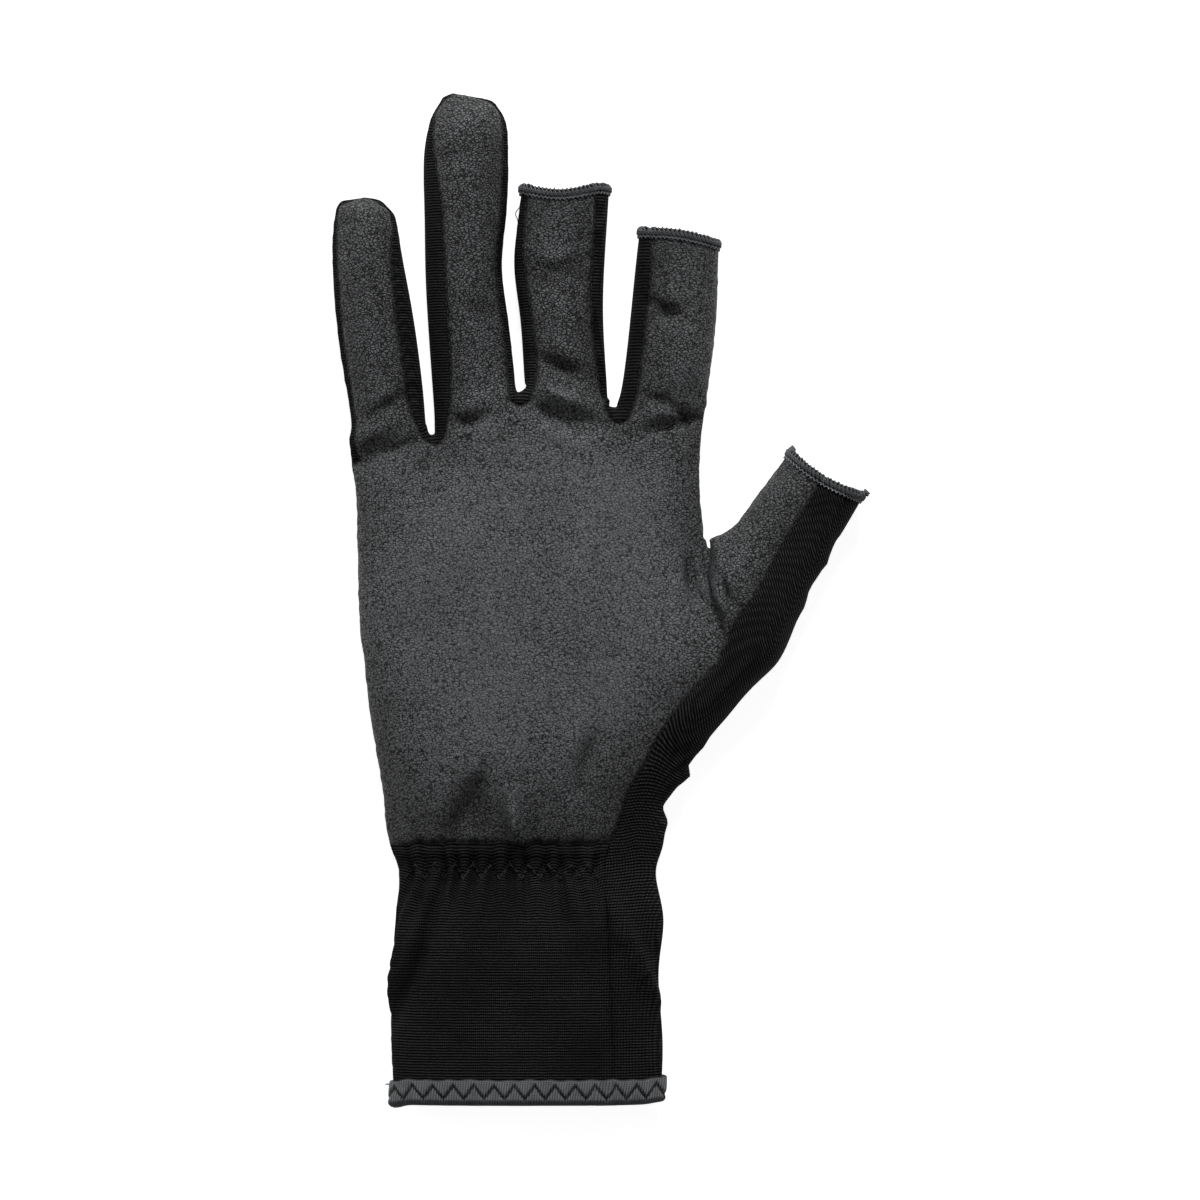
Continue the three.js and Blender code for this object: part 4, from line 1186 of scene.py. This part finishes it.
def cut_panel(cloth, panel):
    """One panel of the dressed skin as a mesh of its own, with its map."""
    bm = bmesh.new()
    bm.from_mesh(cloth.mesh)
    layer = bm.verts.layers.int.new("skin")
    for vert in bm.verts:
        vert[layer] = vert.index
    others = [face for face in bm.faces if face.material_index != panel]
    bmesh.ops.delete(bm, geom=others, context="FACES")
    mesh = bpy.data.meshes.new("panel")
    kept = np.array([vert[layer] for vert in bm.verts])
    bm.verts.layers.int.remove(layer)
    bm.to_mesh(mesh)
    bm.free()
    mesh.polygons.foreach_set("material_index", np.zeros(len(mesh.polygons), np.int32))
    cloth_map(mesh, course_map(cloth.smooth_points[kept], panel))
    return mesh


def make_panels(cloths):
    """Every sewn panel, given its wall. The leather shows its lining inside."""
    bodies = {}
    for piece in PIECES:
        mesh = cut_panel(cloths[piece.level], piece.panel)
        knit = [RIB] if piece.panel == MIDDLE_INDEX else [KNIT]
        finishes = [LEATHER, LINING] if piece.panel == PALM else knit
        body = show(piece.name, mesh, finishes, piece.node)
        wall = body.modifiers.new("wall", "SOLIDIFY")
        wall.thickness = piece.wall * MM
        wall.offset = -1.0
        wall.material_offset = len(finishes) - 1
        bodies[piece.panel] = body
    return bodies


class Rim:
    """A closed line round an opening, with the cloth's normal and the way out at each place."""

    def __init__(self, points, normals, out):
        self.points, self.normals, self.out = points, normals, out
        steps = np.linalg.norm(np.roll(points, -1, axis=0) - points, axis=1)
        self.runs = np.concatenate([[0.0], np.cumsum(steps)])
        self.length = self.runs[-1]

    def at(self, run):
        """Points, normals and ways out at distances along the line."""
        run = np.asarray(run) % self.length

        def sample(field):
            closed = np.vstack([field, field[:1]])
            return np.column_stack([np.interp(run, self.runs, closed[:, k]) for k in range(3)])

        return sample(self.points), sample(self.normals), sample(self.out)

    def offset(self, run, rise, aside):
        """Points beyond the rim by -rise and off the cloth's face by aside, at distances along it."""
        point, normal, out = self.at(run)
        return point - out * np.asarray(rise)[..., None] + normal * np.asarray(aside)[..., None]


def rim_loops(cloth):
    """The skin's four open rims, each a closed line of stations, by the name of what it edges."""
    mesh = cloth.mesh
    points = floats(mesh.vertices, "co", 3)
    normals = floats(mesh.vertices, "normal", 3)
    faces, _, _ = edge_panels(mesh)
    ends = whole_numbers(mesh.edges, "vertices", 2)
    links, inner = defaultdict(list), {}
    on_rim = set(ends[faces == 1].ravel().tolist())
    for (a, b), count in zip(ends.tolist(), faces.tolist()):
        if count == 1:
            links[a].append(b)
            links[b].append(a)
        elif (a in on_rim) != (b in on_rim):
            inner[a if a in on_rim else b] = b if a in on_rim else a
    loops = []
    left = set(on_rim)
    while left:
        start = min(left)
        loop, here = [start], min(links[start])
        while here != start:
            loop.append(here)
            here = next(n for n in links[here] if n != loop[-2])
        left -= set(loop)
        back = points[[inner[v] for v in loop]]
        out = points[loop] - back
        out /= np.linalg.norm(out, axis=1)[:, None]
        loops.append(Rim(points[loop], normals[loop], out))
    loops.sort(key=lambda rim: rim.points[:, 1].mean())
    hem, *openings = loops
    openings.sort(key=lambda rim: rim.points[:, 0].mean())
    return dict(zip(("hem", "middle", "index", "thumb"), [hem, *openings]))


REST_GAP = 0.02


def sweep(name, rim, steps, section):
    """A closed band round a rim. section gives its outline as rise and aside for a list of runs."""
    runs = np.linspace(0, rim.length, steps, endpoint=False)
    rows = [rim.offset(runs, rise, aside) for rise, aside in section(runs)]
    for row in rows:
        row[:, 2] = np.maximum(row[:, 2], REST_GAP)
    bm = bmesh.new()
    ring = bmesh.ops.create_circle(bm, segments=steps, radius=1.0)["verts"]
    for vert, where in zip(ring, rows[0]):
        vert.co = where
    uv = bm.loops.layers.uv.new("cloth")
    spots = {vert: (run, 0.0) for vert, run in zip(ring, runs)}
    tall = 0.0
    for last, row in zip(rows, rows[1:] + rows[:1]):
        tall += float(np.linalg.norm(row - last, axis=1).mean())
        before = ring
        ring = grow(bm, ring, row)
        spots.update({vert: (run, tall) for vert, run in zip(ring, runs)})
        for (a, b), (d, c) in zip(pairs_round(before), pairs_round(ring)):
            face = bm.faces.get((a, b, c, d))
            for loop in face.loops:
                run, high = spots[loop.vert]
                wraps = (b is before[0]) and run == 0.0
                loop[uv].uv = (run + rim.length if wraps else run, high)
    bmesh.ops.remove_doubles(bm, verts=bm.verts, dist=1e-5)
    bmesh.ops.recalc_face_normals(bm, faces=bm.faces)
    mesh = bpy.data.meshes.new(name)
    bm.to_mesh(mesh)
    bm.free()
    return mesh


def thread_mesh(name, runs, radius, closed=False):
    """Round thread along runs of points."""
    curve = bpy.data.curves.new(name, "CURVE")
    curve.dimensions = "3D"
    curve.bevel_depth = radius
    curve.bevel_resolution = 1
    curve.use_fill_caps = True
    for run in runs:
        spline = curve.splines.new("POLY")
        spline.points.add(len(run) - 1)
        spline.points.foreach_set("co", np.column_stack([run, np.ones(len(run))]).ravel())
        spline.use_cyclic_u = closed
    holder = bpy.data.objects.new(name, curve)
    mesh = bpy.data.meshes.new_from_object(holder)
    bpy.data.objects.remove(holder)
    return mesh


# Hem binding
BINDING_STEPS = 620
TAPE_ROUND = 0.3
SLIT_DEPTH = 0.55
SLIT_REACH = 0.36
TAPE_PUFF = 0.12


def binding_section(pitch):
    """Outline of the folded tape, with the stitches pulled into its front and back."""
    outside = BINDING_WALL + BINDING_CLEARANCE
    inside = -KNIT_WALL - outside
    top = BINDING_HEIGHT - BINDING_FOOT
    middle, reach = (outside + inside) / 2, (outside - inside) / 2
    inner, outer = inside + BINDING_WALL, outside - BINDING_WALL

    def section(runs):
        line = lerp(ZIGZAG_LOW, ZIGZAG_HIGH, zigzag(runs, pitch))
        scallop = 0.12 * np.sin(2 * np.pi * runs / pitch) + 0.1 * np.sin(runs * 0.37)
        lean = math.hypot(pitch / 2, ZIGZAG_HIGH - ZIGZAG_LOW) / (pitch / 2)

        def leg(rise, side):
            pulled = SLIT_DEPTH * np.exp(-(((rise - line) / (SLIT_REACH * lean)) ** 2))
            puff = TAPE_PUFF * np.sin(np.pi * np.clip(rise / top, 0, 1))
            return rise + scallop * rise / top, side * (1 + (puff - pulled) / abs(side))

        rows = []
        for rise in np.linspace(top - 0.25, 0.0, 17):
            rows.append(leg(rise, outside))
        for turn in np.linspace(0, np.pi, 11)[1:-1]:
            rise = -BINDING_FOOT * math.sin(turn) + 0 * runs
            rows.append((rise, middle + reach * math.cos(turn) + 0 * runs))
        for rise in np.linspace(0.0, top - 0.25, 10):
            rows.append((rise + scallop * rise / top, inside + 0 * runs))
        flat = 0 * runs
        selvedge = top + scallop
        for rise, aside in (
            (selvedge, inside + TAPE_ROUND),
            (selvedge, inner - TAPE_ROUND),
            (top - 0.4, inner),
            (-BINDING_CLEARANCE, inner),
            (-BINDING_CLEARANCE, outer),
            (top - 0.4, outer),
            (selvedge, outer + TAPE_ROUND),
            (selvedge, outside - TAPE_ROUND),
        ):
            rows.append((rise + flat, aside + flat))
        return rows

    return section


def make_binding(rim):
    count = round(rim.length / ZIGZAG_PITCH)
    pitch = rim.length / count
    mesh = sweep("binding", rim, BINDING_STEPS, binding_section(pitch))
    tape = material("grey_tape", tape_paint(pitch), Specular_IOR_Level=0.15)
    show("hem_binding_tape", mesh, [tape], "cuff_binding")

    outside = BINDING_WALL + BINDING_CLEARANCE
    strokes = []
    rng = np.random.default_rng(11)
    for k in range(2 * count):
        start = k * pitch / 2
        share = np.linspace(*rng.uniform((0.0, 0.7), (0.3, 1.0)), 9)
        run = start + share * pitch / 2
        rise = lerp(ZIGZAG_LOW, ZIGZAG_HIGH, share if k % 2 == 0 else 1 - share)
        aside = outside - 0.66 + 0.3 * np.sin(np.pi * np.linspace(0, 1, 9)) ** 0.6
        strokes.append(rim.offset(run, rise, aside))
    show("hem_zigzag_stitches", thread_mesh("zigzag", strokes, 0.2), [BLACK_THREAD])


# Overlock edging: distances below the rim's crest are counted from the cloth's edge outwards
STITCH = 1.08
LOOP_POINTS = 12
EDGING_HEART = -EDGING_CLEARANCE - EDGING_HEIGHT / 2
CLOTH_MIDDLE = -KNIT_WALL / 2
LOWEST_THREAD = 0.3
WRAP_RADIUS = 0.2
BRAID_RADIUS = 0.17


def bead_section(runs):
    """The cloth's rolled edge inside the overlock thread."""
    rows = []
    for k in range(12):
        turn = 2 * np.pi * k / 12
        rise = EDGING_HEART + EDGING_HEIGHT / 2 * 0.72 * np.sin(turn) + 0 * runs
        rows.append((rise, CLOTH_MIDDLE + EDGING_THICKNESS / 2 * 0.66 * np.cos(turn) + 0 * runs))
    return rows


def held_up(line):
    """Threads that would sink into the table lie on it."""
    line[:, 2] = np.maximum(line[:, 2], LOWEST_THREAD)
    return line


def make_edging(name, rim):
    """An overlocked edge: a core, thread round it, a braid on both faces and a chain at its foot."""
    core = sweep("core", rim, round(rim.length / 0.5), bead_section)
    show(f"{name}_edging_core", core, [DARK_THREAD], f"{name}_edging")
    count = round(rim.length / STITCH)
    pitch = rim.length / count

    step = np.arange(count * LOOP_POINTS)
    turn = 2 * np.pi * step / LOOP_POINTS
    run = step / LOOP_POINTS * pitch
    uneven = 1 + 0.06 * np.sin(run * 1.7) + 0.05 * np.sin(run * 3.1 + 1)
    rise = EDGING_HEART + 0.1 + EDGING_HEIGHT / 2 * 0.9 * np.sin(turn) * uneven
    aside = CLOTH_MIDDLE + EDGING_THICKNESS / 2 * 0.86 * np.cos(turn) * uneven
    wraps = rim.offset(run + 0.32 * pitch * np.sin(turn), rise, aside)

    half = np.arange(2 * count)
    sway = np.where(half % 2 == 0, 1.0, -1.0)
    at = half * pitch / 2
    braids, chains = [], []
    for face in (1.0, -1.0):
        outer = CLOTH_MIDDLE + face * EDGING_THICKNESS / 2
        for shift in (0.0, 0.5):
            rise = EDGING_HEART + 0.35 + 0.48 * sway
            braids.append(rim.offset(at + shift * pitch, rise, outer - face * 0.02 + 0 * at))
        foot = EDGING_HEART + EDGING_HEIGHT / 2 + 0.25 + 0.3 * sway
        chains.append(rim.offset(at, foot, outer - face * 0.3 + 0 * at))

    for part, lines, radius, finish in (
        ("wraps", [wraps], WRAP_RADIUS, GREY_THREAD),
        ("braids", braids, BRAID_RADIUS, GREY_THREAD),
        ("chains", chains, BRAID_RADIUS, LIGHT_THREAD),
    ):
        mesh = thread_mesh(part, [held_up(line) for line in lines], radius, closed=True)
        show(f"{name}_edging_{part}", mesh, [finish])


def curve_through(places, count):
    """Even points of a smooth curve through a few places."""
    places = np.array(places, float)
    grown = np.vstack([2 * places[0] - places[1], places, 2 * places[-1] - places[-2]])
    points = []
    for k in range(len(places) - 1):
        a, b, c, d = grown[k : k + 4]
        for u in np.linspace(0, 1, 12, endpoint=False):
            points.append(0.5 * (
                2 * b + (c - a) * u + (2 * a - 5 * b + 4 * c - d) * u**2 + (3 * b - a - 3 * c + d) * u**3
            ))
    points.append(places[-1])
    points = np.array(points)
    runs = np.concatenate([[0], np.cumsum(np.linalg.norm(np.diff(points, axis=0), axis=1))])
    even = np.linspace(0, runs[-1], count)
    return np.column_stack([np.interp(even, runs, points[:, k]) for k in range(3)]), runs[-1]


# Loose ends of the thumb's edging, as places across and up
THUMB_TAILS = {
    "curl": ((66.6, 96.0), (65.9, 97.4), (66.1, 98.7), (67.1, 98.9)),
    "point": ((82.6, 86.6), (84.0, 87.3), (85.1, 88.1)),
}
TAIL_RADIUS = (0.95, 0.8)


def make_thumb_tails(rim):
    """Each loose end is a short cord wrapped with the overlock thread."""
    cores, wraps = [], []
    for places in THUMB_TAILS.values():
        start = np.array(places[0])
        nearest = np.hypot(*(rim.points[:, :2] - start).T).argmin()
        height = rim.points[nearest, 2] - KNIT_WALL / 2 + 0.3
        line, length = curve_through([(x, y, height) for x, y in places], 60)
        way = np.gradient(line, axis=0)
        way /= np.linalg.norm(way, axis=1)[:, None]
        side = np.cross(way, (0.0, 0.0, 1.0))
        share = np.linspace(0, 1, len(line))
        radius = lerp(*TAIL_RADIUS, share)[:, None]
        turn = (2 * np.pi * length / 0.75 * share)[:, None]
        cores.append(line)
        wraps.append(line + radius * (side * np.cos(turn) + np.array((0.0, 0.0, 1.0)) * np.sin(turn)))
    show("thumb_tail_cores", thread_mesh("cores", cores, 0.75), [GREY_THREAD])
    show("thumb_tail_wraps", thread_mesh("tails", wraps, 0.26), [GREY_THREAD])


# Loose threads, as places across, up and out
LOOSE_THREADS = (
    ((-1.7, 159.6, 6.4), (-3.0, 157.8, 6.2), (-2.4, 155.8, 6.0), (-2.3, 152.0, 6.2), (-1.7, 147.5, 6.4)),
    ((-33.2, -61.6, 6.2), (-34.2, -60.6, 6.6), (-35.3, -60.0, 6.6)),
    ((-33.4, -61.2, 6.0), (-34.4, -60.2, 6.2), (-35.6, -60.4, 6.0)),
)


def make_loose_threads():
    runs = [curve_through(places, 40)[0] for places in LOOSE_THREADS]
    show("loose_threads", thread_mesh("loose", runs, 0.12), [GREY_THREAD])


# Running stitches along the leather's seams
SEAM_STITCH = 1.5
SEAM_GAP = 0.55
SEAM_FACING = 0.55


def seam_runs(cloth):
    """The leather's seams as lines of points with their normals, split where three panels meet."""
    mesh = cloth.mesh
    points = floats(mesh.vertices, "co", 3)
    normals = floats(mesh.vertices, "normal", 3)
    faces, lowest, highest = edge_panels(mesh)
    ends = whole_numbers(mesh.edges, "vertices", 2)
    links = defaultdict(set)
    for a, b in ends[(faces == 2) & (lowest == PALM) & (highest != PALM)].tolist():
        links[a].add(b)
        links[b].add(a)
    starts = [v for v in sorted(links) if len(links[v]) != 2] or [min(links)]
    used, runs = set(), []
    for start in starts:
        for step in sorted(links[start]):
            if (start, step) in used:
                continue
            line = [start, step]
            while len(links[line[-1]]) == 2:
                line.append(next(v for v in links[line[-1]] if v != line[-2]))
                if line[-1] == start:
                    break
            used.add((line[0], line[1]))
            used.add((line[-1], line[-2]))
            runs.append((points[line], normals[line]))
    return runs


def make_seam_stitches(cloth):
    """Short stitches that lie in the leather's seams."""
    stitches = []
    for points, normals in seam_runs(cloth):
        steps = np.linalg.norm(np.diff(points, axis=0), axis=1)
        runs = np.concatenate([[0.0], np.cumsum(steps)])
        for start in np.arange(0.3, runs[-1] - SEAM_STITCH, SEAM_STITCH + SEAM_GAP):
            at = np.linspace(start, start + SEAM_STITCH, 5)
            lift = 0.22 * np.sin(np.pi * np.linspace(0, 1, 5))[:, None] - 0.1
            along = np.column_stack([np.interp(at, runs, points[:, k]) for k in range(3)])
            off = np.column_stack([np.interp(at, runs, normals[:, k]) for k in range(3)])
            if off[:, 2].min() > SEAM_FACING:
                stitches.append(along + off * lift)
    mesh = thread_mesh("seams", stitches, 0.13)
    show("leather_seam_stitches", mesh, [BLACK_THREAD])


def surface_of(body):
    """The shown surface of a piece, for laying stitches on."""
    shown = evaluated(body)
    return BVHTree.FromObject(shown, bpy.context.evaluated_depsgraph_get())


def laid(surface, spots, lift):
    """Places on a piece's upper face, in the glove's own frame, at spots across and up it."""
    laid_points = []
    for (x, y), high in zip(spots, lift):
        start = (Vector((x, y, 0)) + WRIST) * MM
        start.z = 0.05
        hit, normal, _, _ = surface.ray_cast(start, Vector((0, 0, -1)))
        laid_points.append((hit + normal * high * MM) / MM - WRIST)
    return np.array(laid_points)


# Each leg of the zigzag shows three stitches: where each starts and ends along it, and how proud it lies
LEG_STITCHES = table(
    "start end proud",
    (-0.04, 0.26, 0.26),
    (0.4, 0.58, 0.04),
    (0.74, 1.02, 0.26),
)


def make_elastic_stitches(cuff):
    surface = surface_of(cuff)
    rng = np.random.default_rng(7)
    count = 2 * round((ELASTIC_END - ELASTIC_START) / ELASTIC_PITCH)
    xs = np.linspace(ELASTIC_START, ELASTIC_END, count + 1)
    ys = np.where(np.arange(count + 1) % 2 == 0, ELASTIC_LOW, ELASTIC_HIGH)
    corners = np.column_stack([xs, ys]) + rng.normal(0, 0.3, (count + 1, 2))
    strokes = []
    for start, end in zip(corners, corners[1:]):
        for stitch in LEG_STITCHES:
            low, high = lerp(start, end, stitch.start), lerp(start, end, stitch.end)
            high = high + rng.normal(0, 0.15, 2)
            spots = [lerp(low, high, share) for share in np.linspace(0, 1, 5)]
            lift = stitch.proud * np.sin(np.pi * np.linspace(0.02, 0.98, 5)) - 0.06
            strokes.append(laid(surface, spots, lift))
    mesh = thread_mesh("elastic", strokes, 0.2)
    show("wrist_elastic_stitches", mesh, [SHINY_THREAD])


# Table and light
TABLE_SIZE = 4.0
# Painted light: the table glows evenly, so it stays white, the glove's shadow on it fades and its
# underside is lit.
TABLE_GLOW = 0.86
WHITE = (1.0, 1.0, 1.0, 1.0)
ROOM_LIGHT = 0.1
SOFTBOXES = table(
    "name place size power",
    ("key", (0.1, 1.4, 0.8), 0.45, 22.0),
    ("side", (-1.3, 0.3, 0.8), 0.6, 3.0),
)
PALM_LAMP_PLACE = (-0.03, -0.03, 1.7)
PALM_LAMP_CONE = math.radians(16)
PALM_LAMP_POWER = 28.0


def make_table():
    bm = bmesh.new()
    bmesh.ops.create_grid(bm, x_segments=1, y_segments=1, size=TABLE_SIZE / 2)
    mesh = bpy.data.meshes.new("table")
    bm.to_mesh(mesh)
    bm.free()
    paper = material("pale_table", table_paint, Emission_Color=WHITE, Emission_Strength=TABLE_GLOW)
    mesh.materials.append(paper)
    top = bpy.data.objects.new("table", mesh)
    bpy.context.scene.collection.objects.link(top)


def softbox(name, place_at, size, power):
    """A large lamp that looks at the glove."""
    data = bpy.data.lights.new(name, "AREA")
    data.shape = "SQUARE"
    data.size = size
    data.energy = power
    lamp = bpy.data.objects.new(name, data)
    lamp.location = place_at
    lamp.rotation_euler = (-Vector(place_at)).to_track_quat("-Z", "Y").to_euler()
    bpy.context.scene.collection.objects.link(lamp)


def palm_lamp():
    """A soft lamp over the palm whose light fades towards the fingertips."""
    data = bpy.data.lights.new("palm", "SPOT")
    data.energy = PALM_LAMP_POWER
    data.spot_size = PALM_LAMP_CONE
    data.spot_blend = 1.0
    data.shadow_soft_size = 0.25
    lamp = bpy.data.objects.new("palm_lamp", data)
    lamp.location = PALM_LAMP_PLACE
    bpy.context.scene.collection.objects.link(lamp)


def make_light():
    for lamp in SOFTBOXES:
        softbox(*lamp)
    palm_lamp()
    world = bpy.data.worlds.new("room")
    world.use_nodes = True
    background = world.node_tree.nodes["Background"]
    background.inputs["Color"].default_value = WHITE
    background.inputs["Strength"].default_value = ROOM_LIGHT
    bpy.context.scene.world = world
    bpy.context.scene.view_settings.view_transform = "Standard"


cage_body = smooth_cage(build_cage())
cloths = {level: dress(refined(cage_body, level)) for level in (BACK_LEVEL, FINE_LEVEL)}
bpy.data.objects.remove(cage_body)
rims = rim_loops(cloths[FINE_LEVEL])
panels = make_panels(cloths)
make_binding(rims["hem"])
for opening in ("middle", "index", "thumb"):
    make_edging(opening, rims[opening])
make_thumb_tails(rims["thumb"])
make_loose_threads()
make_seam_stitches(cloths[FINE_LEVEL])
make_elastic_stitches(panels[CUFF])
make_table()
make_light()
